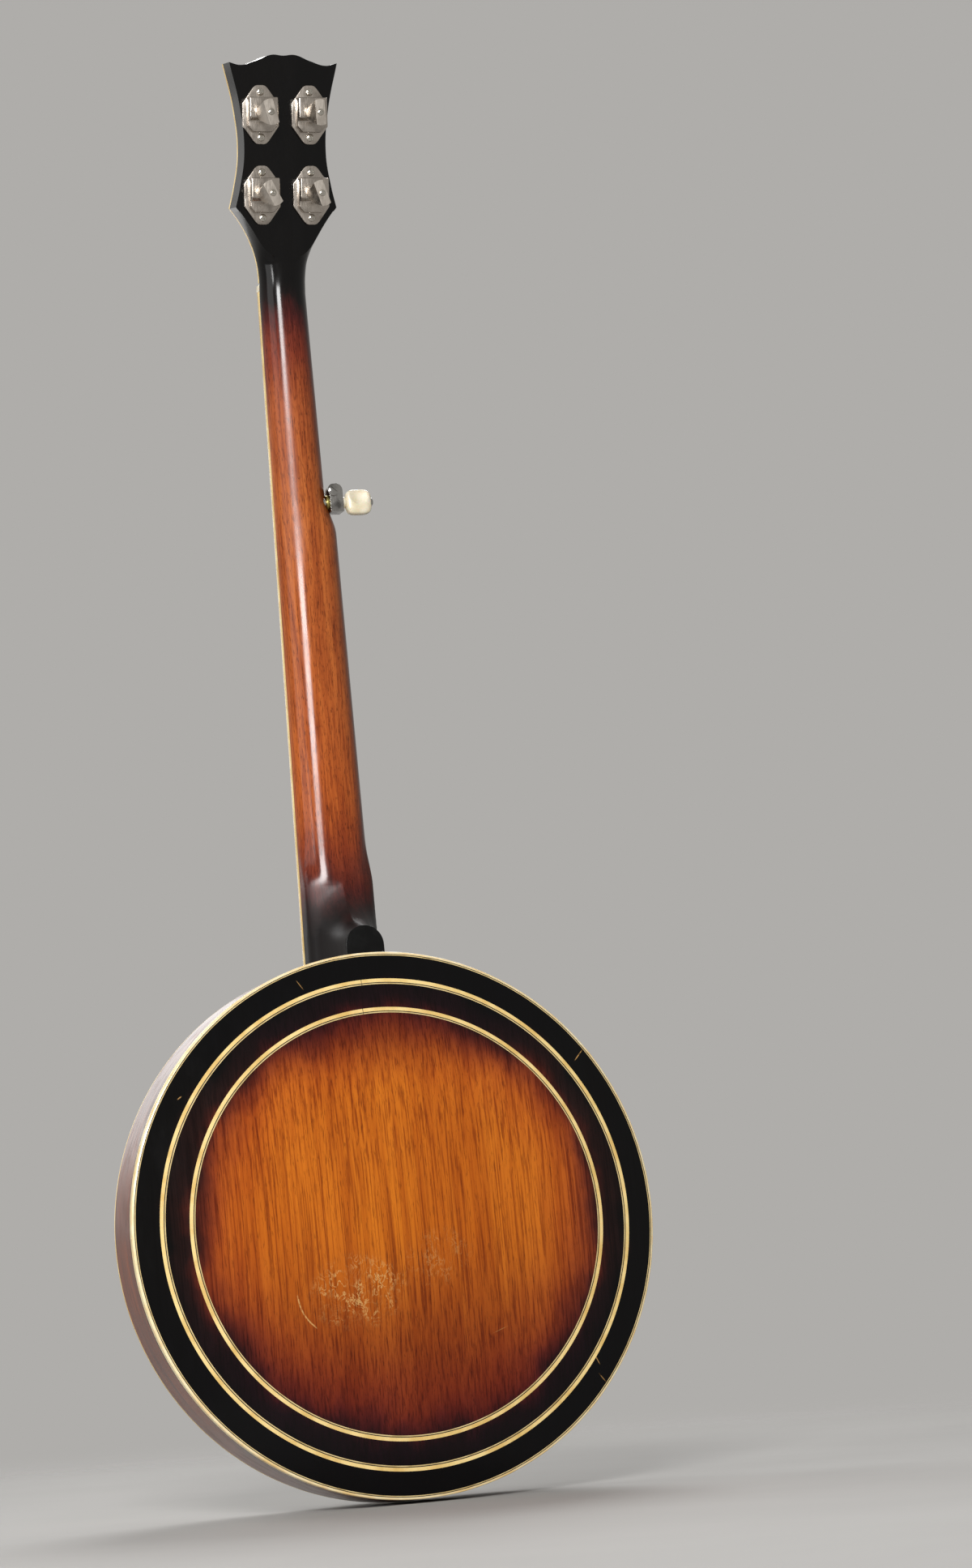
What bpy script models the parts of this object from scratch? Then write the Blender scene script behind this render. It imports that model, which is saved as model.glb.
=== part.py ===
"""A five-string resonator banjo, modelled piece by piece.

Units are metres and +Z is up. The banjo stands on the edge of its resonator with the headstock at the top.
-Y is its back, the side of the resonator, and +Y is the side of the strings. The fifth string's peg is at +X.
The origin is the lowest point of the resonator's edge, in the plane of its back edge.
"""

import math

import bmesh
import bpy
from mathutils import Matrix, Vector

MM = 0.001
GAP = 0.3 * MM
TURN_STEPS = 48

# Resonator
RESONATOR_RADIUS = 175.0 * MM
SIDE_DEPTH = 42.5 * MM
SIDE_WALL = 5.5 * MM
DOME_RISE = 12.0 * MM
BACK_THICKNESS = 4.5 * MM
REST_DISC_RADIUS = 40.0 * MM
BACK_BINDING = 2.5 * MM
FRONT_BINDING = 2.0 * MM
INLAY_RADII = {"outer_ring_inlay": 155.5 * MM, "inner_ring_inlay": 136.7 * MM}
INLAY_WIDTH = 3.6 * MM
INLAY_DEPTH = 1.2 * MM
POT_Z = RESONATOR_RADIUS
POT_FRAME = Matrix.Translation((0, 0, POT_Z)) @ Matrix.Rotation(-math.pi / 2, 4, "X")

# Rim, tone ring, head and tension hoop, as radii from the pot's axis and places along it
RIM_OUTER, RIM_INNER = 138.6 * MM, 120.0 * MM
RIM_BACK, RIM_FRONT = 8.0 * MM, 56.0 * MM
TONE_RING_RADIUS = 139.4 * MM
TONE_RING_TOP = 70.6 * MM
HEAD_TOP = 71.35 * MM
HEAD_THICKNESS = 0.4 * MM
HOOP_OUTER, HOOP_INNER = 146.5 * MM, 140.4 * MM
HOOP_BACK, HOOP_FRONT = 60.0 * MM, 75.0 * MM
HOOP_NOTCH_FLOOR = 67.2 * MM
HOOP_NOTCH_HALF = 25.6 * MM

# Flange and the hooks that pass through it
FLANGE_OUTER, FLANGE_INNER = 168.6 * MM, 139.1 * MM
FLANGE_BACK, FLANGE_FRONT = 40.0 * MM, 42.5 * MM
FLANGE_BAND = 152.6 * MM
HEEL_GAP_HALF = 17.8 * MM
HOOKS = 24
HOOK_RADIUS = 149.2 * MM
FIRST_HOOK = math.radians(10.9)
HOOK_STEP = (2 * math.pi - 2 * FIRST_HOOK) / (HOOKS - 1)
HOOK_ROD = 1.8 * MM
BRACKET_NUT = 4.0 * MM
SCREW_GAPS = (2, 8, 14, 20)
SCREW_RADIUS = 163.0 * MM
SOUND_HOLE_INNER, SOUND_HOLE_OUTER = 154.6 * MM, 163.6 * MM
SOUND_HOLE_HALF = math.radians(4.3)

# Neck and fingerboard
SCALE_LENGTH = 667.0 * MM
NUT_Z = 804.0 * MM
NUT_LENGTH = 4.5 * MM
BOARD_END_Z = 316.5 * MM
BOARD_TOP_AT_NUT = 57.0 * MM
BOARD_RISE = 16.5 * MM
BOARD_RUN = 480.0 * MM
BOARD_THICKNESS = 6.0 * MM
NUT_CENTRE_X = -3.0 * MM
NUT_HALF_WIDTH = 15.6 * MM
END_HALF_WIDTH = 24.4 * MM
FIFTH_STEP = 6.0 * MM
FIFTH_STEP_TOP, FIFTH_STEP_LOW = 663.0 * MM, 637.0 * MM
FRETS = 22
FRET_WIDTH, FRET_HEIGHT = 2.2 * MM, 1.1 * MM
NECK_DEPTH_AT_NUT, NECK_DEPTH_AT_HEEL = 14.2 * MM, 17.0 * MM
TRUSS_ROD_RADIUS = 2.6 * MM
TRUSS_ROD_LOW_Z, TRUSS_ROD_TOP_Z = 336.0 * MM, 825.0 * MM
TRUSS_ROD_DEPTH = BOARD_THICKNESS + GAP + 5.0 * MM
NECK_TOP_AT_NUT = BOARD_TOP_AT_NUT - BOARD_THICKNESS - GAP
# The heel from back to front, in millimetres: place along Y, half width, height of its tip, rise of its arch
HEEL_LEVELS = (
    (14.3, 12.8, 369.4, 13),
    (20, 13.2, 370, 13),
    (28, 14.0, 373, 15),
    (36, 15.3, 379.5, 18),
    (43, 17.0, 390, 24),
    (49, 19.5, 405, 34),
    (56, 22.8, 428, 50),
)
HEEL_FOOT_Z = 312.0 * MM
HEEL_CAP_BACK, HEEL_CAP_FRONT = 12.0 * MM, 14.0 * MM

# Headstock, measured along its own length from its foot
HEADSTOCK_FOOT_Z = 806.5 * MM
HEADSTOCK_TILT = math.radians(13.0)
HEADSTOCK_THICKNESS = 14.5 * MM
OVERLAY_THICKNESS = 2.0 * MM
FLARE_LENGTH = 52.0 * MM
FLARE_HALF = 35.0 * MM
FLARE_POWER = 2.2
SLAB_START = 32.0 * MM
POST_SPREAD = 17.0 * MM
POST_ROWS = {"lower": 60.0 * MM, "upper": 113.0 * MM}
POST_RADIUS, POST_HOLE = 3.0 * MM, 4.8 * MM
WING_TURNS = {
    "lower_treble": -30.0,
    "upper_treble": -20.0,
    "lower_bass": -25.0,
    "upper_bass": 0.0,
}
HEADSTOCK_FRAME = Matrix.Translation((NUT_CENTRE_X, NECK_TOP_AT_NUT, HEADSTOCK_FOOT_Z)) @ Matrix(
    (
        (-1, 0, 0, 0),
        (0, -math.sin(HEADSTOCK_TILT), math.cos(HEADSTOCK_TILT), 0),
        (0, math.cos(HEADSTOCK_TILT), math.sin(HEADSTOCK_TILT), 0),
        (0, 0, 0, 1),
    )
)

# Fifth-string peg: its post stands along Y and its worm lies along X
PEG_POST_X, PEG_POST_Z = 17.6 * MM, 665.4 * MM
PEG_WORM_Y, PEG_WORM_Z = 49.0 * MM, 657.8 * MM
PEG_BODY_LOW, PEG_BODY_HIGH = 14.9 * MM, 24.0 * MM
PEG_HALF_DEPTH, PEG_GEAR_HALF = 5.4 * MM, 1.9 * MM
FIFTH_NUT_X = 17.2 * MM

# Bridge, strings and tailpiece
BRIDGE_Z = NUT_Z - SCALE_LENGTH
BRIDGE_HEIGHT = 15.65 * MM
STRING_SPACING_BRIDGE = 10.7 * MM
STRING_SPACING_NUT = 8.0 * MM
STRING_SPACING_TAIL = 8.0 * MM
STRING_AT_BRIDGE_Y = 87.9 * MM
STRING_AT_NUT_Y = 58.6 * MM
STRING_RADII = (0.13 * MM, 0.15 * MM, 0.18 * MM, 0.27 * MM, 0.13 * MM)
TAIL_HINGE_Y, TAIL_HINGE_Z = 81.6 * MM, 39.5 * MM
TAIL_PLATE_BACK, TAIL_PLATE_FRONT = 77.0 * MM, 79.0 * MM
TAIL_HALF_WIDTH = 20.0 * MM
TAIL_TOP_Z = 76.0 * MM
TAIL_SCREW_Z = 31.5 * MM
TAIL_KNUCKLE = 2.1 * MM

# Coordinator rods, along Z inside the rim
ROD_PLACES = {"upper": 50.0 * MM, "lower": 20.0 * MM}
ROD_RADIUS, STUD_RADIUS, BORE_RADIUS = 4.5 * MM, 3.0 * MM, 3.4 * MM


def clear_scene():
    for obj in list(bpy.data.objects):
        bpy.data.objects.remove(obj, do_unlink=True)


def new_collection(name):
    made = bpy.data.collections.new(name)
    bpy.context.scene.collection.children.link(made)
    return made


def finish(name, colour, roughness, metallic=0.0):
    """A Principled material in one plain colour."""
    made = bpy.data.materials.new(name)
    made.use_nodes = True
    shader = made.node_tree.nodes["Principled BSDF"]
    shader.inputs["Base Color"].default_value = (*colour, 1.0)
    shader.inputs["Roughness"].default_value = roughness
    shader.inputs["Metallic"].default_value = metallic
    made.diffuse_color = (*colour, 1.0)
    return made


clear_scene()
PARTS = new_collection("resonator_banjo")
CUTTERS = new_collection("cutters")
MAHOGANY = finish("mahogany", (0.34, 0.10, 0.03), 0.25)
BLACK_LACQUER = finish("black_lacquer", (0.010, 0.008, 0.008), 0.2)
MAPLE = finish("maple", (0.55, 0.36, 0.18), 0.45)
ROSEWOOD = finish("rosewood", (0.06, 0.025, 0.015), 0.45)
CREAM = finish("cream_celluloid", (0.80, 0.66, 0.38), 0.35)
BONE = finish("bone", (0.82, 0.77, 0.62), 0.4)
NICKEL = finish("nickel", (0.66, 0.64, 0.60), 0.3, 1.0)
STEEL = finish("steel", (0.45, 0.45, 0.45), 0.35, 1.0)
BRONZE = finish("bell_bronze", (0.55, 0.38, 0.16), 0.35, 1.0)
MYLAR = finish("frosted_mylar", (0.85, 0.84, 0.80), 0.6)


def new_object(name, mesh_or_bmesh, frame=None):
    """An object from a mesh or a bmesh, at a frame given as a matrix."""
    mesh = mesh_or_bmesh
    if isinstance(mesh_or_bmesh, bmesh.types.BMesh):
        mesh = bpy.data.meshes.new(name)
        mesh_or_bmesh.to_mesh(mesh)
        mesh_or_bmesh.free()
    obj = bpy.data.objects.new(name, mesh)
    obj.matrix_world = frame or Matrix()
    PARTS.objects.link(obj)
    return obj


def turned(name, profile, frame=POT_FRAME, steps=TURN_STEPS, closed=True):
    """Turn a profile of (radius, height) points about the frame's own Z axis.

    An outer side runs from top to bottom. A profile that isn't closed starts and ends on the axis.
    """
    mesh = bpy.data.meshes.new(name)
    count = len(profile)
    edges = [(i, i + 1) for i in range(count - 1)]
    if closed:
        edges.append((count - 1, 0))
    mesh.from_pydata([(radius, 0, height) for radius, height in profile], edges, [])
    obj = new_object(name, mesh, frame)
    screw = obj.modifiers.new("Turn", "SCREW")
    screw.steps = screw.render_steps = steps
    screw.use_merge_vertices = True
    screw.merge_threshold = 1e-6
    return obj


def evaluated_mesh(obj):
    bpy.context.view_layer.update()
    graph = bpy.context.evaluated_depsgraph_get()
    return bpy.data.meshes.new_from_object(obj.evaluated_get(graph))


def curve_to_mesh(obj):
    """Replace a curve by a mesh whose caps are welded to its sides."""
    mesh = evaluated_mesh(obj)
    made = bmesh.new()
    made.from_mesh(mesh)
    bmesh.ops.remove_doubles(made, verts=made.verts, dist=1e-7)
    made.to_mesh(mesh)
    made.free()
    name, frame = obj.name, obj.matrix_world.copy()
    bpy.data.objects.remove(obj)
    return new_object(name, mesh, frame)


def flat(name, outlines, low, high, frame):
    """A plate between two heights on the frame's Z axis. Outlines inside the first one are holes.

    An outline is a list of (x, y) points, or of (x, y, handle) knots of a smooth curve.
    """
    curve = bpy.data.curves.new(name, "CURVE")
    curve.dimensions = "2D"
    curve.fill_mode = "BOTH"
    curve.extrude = (high - low) / 2
    curve.resolution_u = 3
    for outline in outlines:
        smooth = len(outline[0]) == 3
        spline = curve.splines.new("BEZIER" if smooth else "POLY")
        points = spline.bezier_points if smooth else spline.points
        points.add(len(outline) - 1)
        for point, knot in zip(points, outline):
            if smooth:
                point.co = (knot[0], knot[1], 0)
                point.handle_left_type = point.handle_right_type = knot[2]
            else:
                point.co = (knot[0], knot[1], 0, 1)
        spline.use_cyclic_u = True
    obj = bpy.data.objects.new(name, curve)
    obj.matrix_world = frame @ Matrix.Translation((0, 0, (low + high) / 2))
    PARTS.objects.link(obj)
    return curve_to_mesh(obj)


def tube(name, routes, radius, resolution=1):
    """Round rods along lists of (point, radius share), all in one mesh."""
    curve = bpy.data.curves.new(name, "CURVE")
    curve.dimensions = "3D"
    curve.bevel_depth = radius
    curve.bevel_resolution = resolution
    curve.use_fill_caps = True
    for route in routes:
        spline = curve.splines.new("POLY")
        spline.points.add(len(route) - 1)
        for point, (place, share) in zip(spline.points, route):
            point.co = (*place, 1)
            point.radius = share
    obj = bpy.data.objects.new(name, curve)
    PARTS.objects.link(obj)
    return curve_to_mesh(obj)


def box(name, low, high, frame=None):
    made = bmesh.new()
    bmesh.ops.create_cube(made, size=1)
    low, high = Vector(low), Vector(high)
    for vert in made.verts:
        vert.co = (low + high) / 2 + Vector(a * b for a, b in zip(vert.co, high - low))
    return new_object(name, made, frame)


def rod(name, start, end, radius, sides=16, frame=None, radius_end=None):
    """A cylinder or cone between two points."""
    start, end = Vector(start), Vector(end)
    axis = end - start
    place = Matrix.Translation((start + end) / 2) @ axis.to_track_quat("Z", "Y").to_matrix().to_4x4()
    made = bmesh.new()
    bmesh.ops.create_cone(
        made,
        cap_ends=True,
        segments=sides,
        radius1=radius,
        radius2=radius if radius_end is None else radius_end,
        depth=axis.length,
        matrix=place,
    )
    return new_object(name, made, frame)


def loft(name, rings):
    """Join rings of equally many points in order, and close both ends."""
    made = bmesh.new()
    loops = [[made.verts.new(point) for point in ring] for ring in rings]
    for low, high in zip(loops, loops[1:]):
        for i in range(len(low)):
            j = (i + 1) % len(low)
            made.faces.new((low[i], low[j], high[j], high[i]))
    made.faces.new(loops[0])
    made.faces.new(loops[-1])
    bmesh.ops.recalc_face_normals(made, faces=made.faces)
    return new_object(name, made)


def combine(obj, tool, operation):
    """Apply one Boolean and put the tool with the cutters."""
    modifier = obj.modifiers.new(tool.name, "BOOLEAN")
    modifier.operation = operation
    modifier.object = tool
    modifier.solver = "EXACT"
    tool.hide_render = True
    tool.display_type = "WIRE"
    if tool.name not in CUTTERS.objects:
        CUTTERS.objects.link(tool)
        PARTS.objects.unlink(tool)
    return obj


def cut(obj, *tools):
    for tool in tools:
        combine(obj, tool, "DIFFERENCE")
    return obj


def join(obj, *tools):
    for tool in tools:
        combine(obj, tool, "UNION")
    return obj


def dress(obj, material):
    """Keep the shape that the modifiers make, shade its round faces smooth and give it a material."""
    mesh = evaluated_mesh(obj)
    obj.modifiers.clear()
    obj.data = mesh
    mesh.name = obj.name
    mesh.materials.clear()
    mesh.materials.append(material)
    mesh.shade_smooth()
    mesh.set_sharp_from_angle(angle=math.radians(35))
    return obj


def arc(radius, start, end, count, centre=(0.0, 0.0)):
    """Points on an arc in the pot's frame, by angles from straight up towards +X."""
    angles = [start + (end - start) * i / (count - 1) for i in range(count)]
    return [(centre[0] + radius * math.sin(a), centre[1] - radius * math.cos(a)) for a in angles]


def circle(radius, count, centre):
    return arc(radius, 0, 2 * math.pi * (count - 1) / count, count, centre)


def polar(radius, angle):
    """A place in the pot's frame, by its angle from straight up towards +X."""
    return radius * math.sin(angle), -radius * math.cos(angle)


def pot_point(radius, angle, y):
    """The same place in the banjo's own frame."""
    return radius * math.sin(angle), y, POT_Z + radius * math.cos(angle)


def hook_angle(index):
    return FIRST_HOOK + index * HOOK_STEP


def gap_angle(index):
    """The middle of the gap after a hook."""
    return hook_angle(index + 0.5)


# Resonator


def dome(radius):
    """The back's outer surface, nearly a part of a sphere, at a distance from its middle."""
    return -DOME_RISE * (1 - (radius / RESONATOR_RADIUS) ** 2)


def resonator_back():
    edge = RESONATOR_RADIUS - BACK_BINDING - GAP
    inner = [(r, dome(r) + BACK_THICKNESS) for r in (120 * MM, 150 * MM, edge)]
    outer = [(edge, dome(edge))]
    for radius in INLAY_RADII.values():
        high, low = radius + INLAY_WIDTH / 2 + GAP / 2, radius - INLAY_WIDTH / 2 - GAP / 2
        outer += [
            (high, dome(high)),
            (high, dome(high) + INLAY_DEPTH),
            (low, dome(low) + INLAY_DEPTH),
            (low, dome(low)),
        ]
    outer += [(r, dome(r)) for r in (100 * MM, 70 * MM, REST_DISC_RADIUS)]
    rest = dome(REST_DISC_RADIUS)
    profile = [(0, rest + BACK_THICKNESS), (60 * MM, dome(60 * MM) + BACK_THICKNESS)]
    profile += inner + outer + [(0, rest)]
    dress(turned("resonator_back", profile, closed=False), MAHOGANY)


def ring_inlays():
    for name, radius in INLAY_RADII.items():
        high, low = radius + INLAY_WIDTH / 2, radius - INLAY_WIDTH / 2
        top = INLAY_DEPTH - GAP
        profile = [(high, dome(high) + top), (high, dome(high)), (low, dome(low)), (low, dome(low) + top)]
        dress(turned(name, profile), CREAM)


def heel_opening():
    """The mouth in the resonator's side that the neck's heel passes through."""
    low, high = POT_Z + RESONATOR_RADIUS - 20 * MM, POT_Z + RESONATOR_RADIUS + 10 * MM
    rings = []
    for y, half in ((11.6 * MM, 13.5 * MM), (50 * MM, 17.9 * MM)):
        rings.append([(-half, y, low), (half, y, low), (half, y, high), (-half, y, high)])
    return loft("heel_opening", rings)


def resonator_side(opening):
    outer, inner = RESONATOR_RADIUS, RESONATOR_RADIUS - SIDE_WALL
    back, front = BACK_THICKNESS + GAP, SIDE_DEPTH
    step, shoulder = outer - FRONT_BINDING - GAP, front - FRONT_BINDING - GAP
    profile = [(step, front), (step, shoulder), (outer, shoulder)]
    profile += [(outer, back), (inner, back), (inner, front)]
    dress(cut(turned("resonator_side", profile), opening), MAHOGANY)
    low, inside = front - FRONT_BINDING, outer - FRONT_BINDING
    profile = [(outer, front), (outer, low), (inside, low), (inside, front)]
    dress(cut(turned("resonator_front_binding", profile), opening), CREAM)


def resonator_back_binding():
    outer, inner = RESONATOR_RADIUS, RESONATOR_RADIUS - BACK_BINDING
    round_off = 0.6 * MM
    profile = [
        (outer, BACK_THICKNESS),
        (outer, round_off),
        (outer - round_off, 0),
        (inner, dome(inner)),
        (inner, BACK_THICKNESS),
    ]
    dress(turned("resonator_back_binding", profile), CREAM)


def at_angle(angle, radius):
    """A frame on the pot's plane: X points outwards, Y along the rim and Z to the front."""
    x, y = polar(radius, angle)
    return POT_FRAME @ Matrix.Translation((x, y, 0)) @ Matrix.Rotation(angle - math.pi / 2, 4, "Z")


def wall_lugs_and_screws():
    low, high = 20 * MM, 39.5 * MM
    reach_in, reach_out, half = 6.0 * MM, 5.9 * MM, 8.0 * MM
    shaft, hole = 2.0 * MM, 2.3 * MM
    bottom, seat = 23 * MM, FLANGE_FRONT + GAP
    for number, gap in enumerate(SCREW_GAPS, 1):
        frame = at_angle(gap_angle(gap), SCREW_RADIUS)
        lug = box(f"wall_lug_{number}", (-reach_in, -half, low), (reach_out, half, high), frame)
        bore = rod(f"lug_bore_{number}", (0, 0, low - MM), (0, 0, high + MM), hole, 12, frame)
        dress(cut(lug, bore), NICKEL)
        profile = [
            (0, seat + 13 * MM),
            (4.5 * MM, seat + 13 * MM),
            (6.0 * MM, seat + 11.5 * MM),
            (6.0 * MM, seat + 6.5 * MM),
            (3.0 * MM, seat + 4.5 * MM),
            (3.0 * MM, seat + 2.0 * MM),
            (5.2 * MM, seat + 1.6 * MM),
            (5.2 * MM, seat),
            (shaft, seat),
            (shaft, bottom),
            (0, bottom - MM),
        ]
        dress(turned(f"thumbscrew_{number}", profile, frame, 12, closed=False), NICKEL)


# Pot


def rim_holes():
    """Where the neck's bolts and the rods' studs pass through the rim."""
    inside, outside = RIM_INNER - 10 * MM, RIM_OUTER + 6 * MM
    tools = []
    for place, y in ROD_PLACES.items():
        for end, side in {"top": 1, "tail": -1}.items():
            start, stop = (0, y, POT_Z + side * inside), (0, y, POT_Z + side * outside)
            tools.append(rod(f"rim_hole_{place}_{end}", start, stop, BORE_RADIUS, 12))
    return tools


def rim_and_tone_ring():
    profile = [(RIM_OUTER, RIM_FRONT), (RIM_OUTER, RIM_BACK), (RIM_INNER, RIM_BACK), (RIM_INNER, RIM_FRONT)]
    dress(cut(turned("rim", profile), *rim_holes()), MAPLE)
    foot, top = RIM_FRONT + GAP, TONE_RING_TOP
    profile = [
        (TONE_RING_RADIUS, top),
        (TONE_RING_RADIUS, foot),
        (134.5 * MM, foot),
        (134.5 * MM, 66.5 * MM),
        (122.0 * MM, 63.0 * MM),
        (122.0 * MM, foot),
        (119.5 * MM, foot),
        (118.5 * MM, 65.0 * MM),
        (131.0 * MM, top),
    ]
    dress(turned("tone_ring", profile), BRONZE)


def head():
    skirt, bead = TONE_RING_RADIUS + GAP, 143.0 * MM
    back = HEAD_TOP - HEAD_THICKNESS
    bead_top, bead_low = 66.2 * MM, 62.0 * MM
    profile = [
        (0, HEAD_TOP),
        (skirt, HEAD_TOP),
        (skirt + GAP, back),
        (skirt + GAP, bead_top),
        (bead, bead_top),
        (bead, bead_low),
        (skirt, bead_low),
        (skirt, back),
        (0, back),
    ]
    dress(turned("head", profile, closed=False), MYLAR)


def hook_route(angle):
    """One hook from the foot of its nut, through the flange and over the hoop."""
    nut_share = BRACKET_NUT / HOOK_ROD
    nut_low, nut_high = 19 * MM, FLANGE_BACK - GAP
    bend, over = HOOP_FRONT - 3.5 * MM, HOOP_FRONT - 0.6 * MM
    step = 0.05 * MM
    stops = [
        (HOOK_RADIUS, nut_low, nut_share),
        (HOOK_RADIUS, nut_high, nut_share),
        (HOOK_RADIUS, nut_high + step, 1.0),
        (HOOK_RADIUS, bend, 1.0),
        (HOOK_RADIUS - 2.6 * MM, over, 1.0),
        (HOOP_INNER + 2.2 * MM, over, 1.0),
    ]
    return [(pot_point(radius, angle, y), share) for radius, y, share in stops]


def tension_hoop():
    """The hoop with its hooks and their nuts, notched where the fingerboard crosses it."""
    bead, lip = 143.4 * MM, 66.6 * MM
    profile = [
        (HOOP_OUTER, HOOP_FRONT),
        (HOOP_OUTER, HOOP_BACK),
        (bead, HOOP_BACK),
        (bead, lip),
        (HOOP_INNER, lip),
        (HOOP_INNER, HOOP_FRONT),
    ]
    half, low, high = HOOP_NOTCH_HALF, POT_Z + HOOP_INNER - 15 * MM, POT_Z + HOOP_OUTER + 5 * MM
    notch = box("hoop_notch", (-half, HOOP_NOTCH_FLOOR, low), (half, HOOP_FRONT + 5 * MM, high))
    hooks = tube("bracket_hooks", [hook_route(hook_angle(i)) for i in range(HOOKS)], HOOK_ROD)
    dress(join(cut(turned("tension_hoop", profile), notch), hooks), NICKEL)


def sound_hole(angle):
    """A kidney-shaped hole in the flange."""
    middle = (SOUND_HOLE_INNER + SOUND_HOLE_OUTER) / 2
    start, end = angle - SOUND_HOLE_HALF, angle + SOUND_HOLE_HALF
    tip = math.radians(1.0)
    points = arc(SOUND_HOLE_OUTER, start, end, 3) + [polar(middle, end + tip)]
    return points + arc(SOUND_HOLE_INNER, end, start, 3) + [polar(middle, start - tip)]


def flange():
    notch = math.asin(HEEL_GAP_HALF / FLANGE_OUTER)
    band_notch = math.asin(HEEL_GAP_HALF / FLANGE_BAND)
    rim = arc(FLANGE_OUTER, notch, 2 * math.pi - notch, TURN_STEPS)
    rim += arc(FLANGE_BAND, 2 * math.pi - band_notch, 2 * math.pi + band_notch, 4)
    outlines = [rim, circle(FLANGE_INNER, TURN_STEPS, (0, 0))]
    for index in range(HOOKS):
        outlines.append(circle(2.8 * MM, 6, polar(HOOK_RADIUS, hook_angle(index))))
    for index in range(HOOKS - 1):
        if index in SCREW_GAPS:
            outlines.append(circle(2.7 * MM, 10, polar(SCREW_RADIUS, gap_angle(index))))
        else:
            outlines.append(sound_hole(gap_angle(index)))
    dress(flat("flange", outlines, FLANGE_BACK, FLANGE_FRONT, POT_FRAME), NICKEL)


def coordinator_rods():
    """Two rods across the rim, each with its nut at the tail, and the bolts that hold the neck to them."""
    top, low = POT_Z + RIM_INNER - 0.5 * MM, POT_Z - RIM_INNER + 0.5 * MM
    bolt_low, bolt_top = top - 14 * MM, POT_Z + RIM_INNER + 55 * MM
    stud_end = {"upper": 26 * MM, "lower": 28 * MM}
    nut_top = {"upper": 32.2 * MM, "lower": 36.0 * MM}
    for place, y in ROD_PLACES.items():
        body = rod(f"coordinator_rod_{place}", (0, y, low), (0, y, top), ROD_RADIUS, 14)
        stud = rod(f"rod_stud_{place}", (0, y, stud_end[place]), (0, y, low + 5 * MM), STUD_RADIUS, 14)
        nut = rod(f"rod_nut_{place}", (0, y, nut_top[place] - 4.5 * MM), (0, y, nut_top[place]), 5 * MM, 6)
        bore = rod(f"rod_bore_{place}", (0, y, top - 16 * MM), (0, y, top + MM), BORE_RADIUS, 14)
        dress(cut(join(body, stud, nut), bore), STEEL)
        bolt = rod(f"neck_bolt_{place}", (0, y, bolt_low), (0, y, bolt_top), STUD_RADIUS, 12)
        dress(bolt, STEEL)


# Neck


def board_top(z):
    return BOARD_TOP_AT_NUT + BOARD_RISE * (NUT_Z - z) / BOARD_RUN


def edge_half(z):
    """Half the width that the neck would have with no step for the fifth string."""
    treble = NUT_HALF_WIDTH - NUT_CENTRE_X
    return treble + (END_HALF_WIDTH - treble) * (NUT_Z - z) / BOARD_RUN


def bass_edge(z):
    """The edge at +X, which steps in past the fifth string's nut."""
    share = min(max((z - FIFTH_STEP_LOW) / (FIFTH_STEP_TOP - FIFTH_STEP_LOW), 0.0), 1.0)
    return edge_half(z) - FIFTH_STEP * share * share * (3 - 2 * share)


def headstock_half(s):
    """Half the headstock's width between its foot and its lower points."""
    return NUT_HALF_WIDTH + (FLARE_HALF - NUT_HALF_WIDTH) * (s / FLARE_LENGTH) ** FLARE_POWER


def wood_front(z):
    """The headstock's front face, under its overlay."""
    return NECK_TOP_AT_NUT - (z - HEADSTOCK_FOOT_Z) * math.tan(HEADSTOCK_TILT)


def neck_ring(z, left, right, top, depth, squareness):
    """One section of the neck: flat at the top and round, or nearly square, at the back."""
    count = 13
    power = 0.9 * (1 - squareness) + 0.08 * squareness
    centre, half = (left + right) / 2, (right - left) / 2
    ring = []
    for i in range(count):
        angle = math.pi * i / (count - 1)
        across = math.copysign(abs(math.cos(angle)) ** power, math.cos(angle))
        ring.append((centre - half * across, top - depth * math.sin(angle) ** power, z))
    return ring


def neck_shaft():
    """The neck from the heel's foot to the headstock's flare, with close rings at the fifth string's step."""
    rings = []
    heights = (400, 470, 540, 600, 637, 642, 647, 652, 657, 663, 700, 750)
    for z in [HEEL_FOOT_Z] + [height * MM for height in heights] + [NUT_Z]:
        share = (NUT_Z - z) / BOARD_RUN
        depth = NECK_DEPTH_AT_NUT + (NECK_DEPTH_AT_HEEL - NECK_DEPTH_AT_NUT) * share
        top = board_top(z) - BOARD_THICKNESS - GAP
        rings.append(neck_ring(z, -edge_half(z), bass_edge(z), top, depth, 0))
    depth = HEADSTOCK_THICKNESS / math.cos(HEADSTOCK_TILT)
    for s in (2 * MM, 9 * MM, 16 * MM, 23 * MM, 30 * MM, 37 * MM):
        z = HEADSTOCK_FOOT_Z + s * math.cos(HEADSTOCK_TILT)
        half = headstock_half(s)
        left, right = NUT_CENTRE_X - half, NUT_CENTRE_X + half
        rings.append(neck_ring(z, left, right, wood_front(z), depth, min(s / (30 * MM), 1.0)))
    return loft("neck", rings)


def heel_arch(level, foot):
    """One outline of the heel: an arch over a straight foot."""
    y, half, tip, rise = (value * MM for value in level)
    angles = [math.pi * i / 10 for i in range(11)]
    arch = [(half * math.cos(a), y, tip - rise + rise * math.sin(a)) for a in angles]
    return [(half, y, foot)] + arch + [(-half, y, foot)]


def heel_block():
    """The deep foot of the neck, as arched outlines stacked from back to front."""
    return loft("heel_block", [heel_arch(level, HEEL_FOOT_Z) for level in HEEL_LEVELS])


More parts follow.
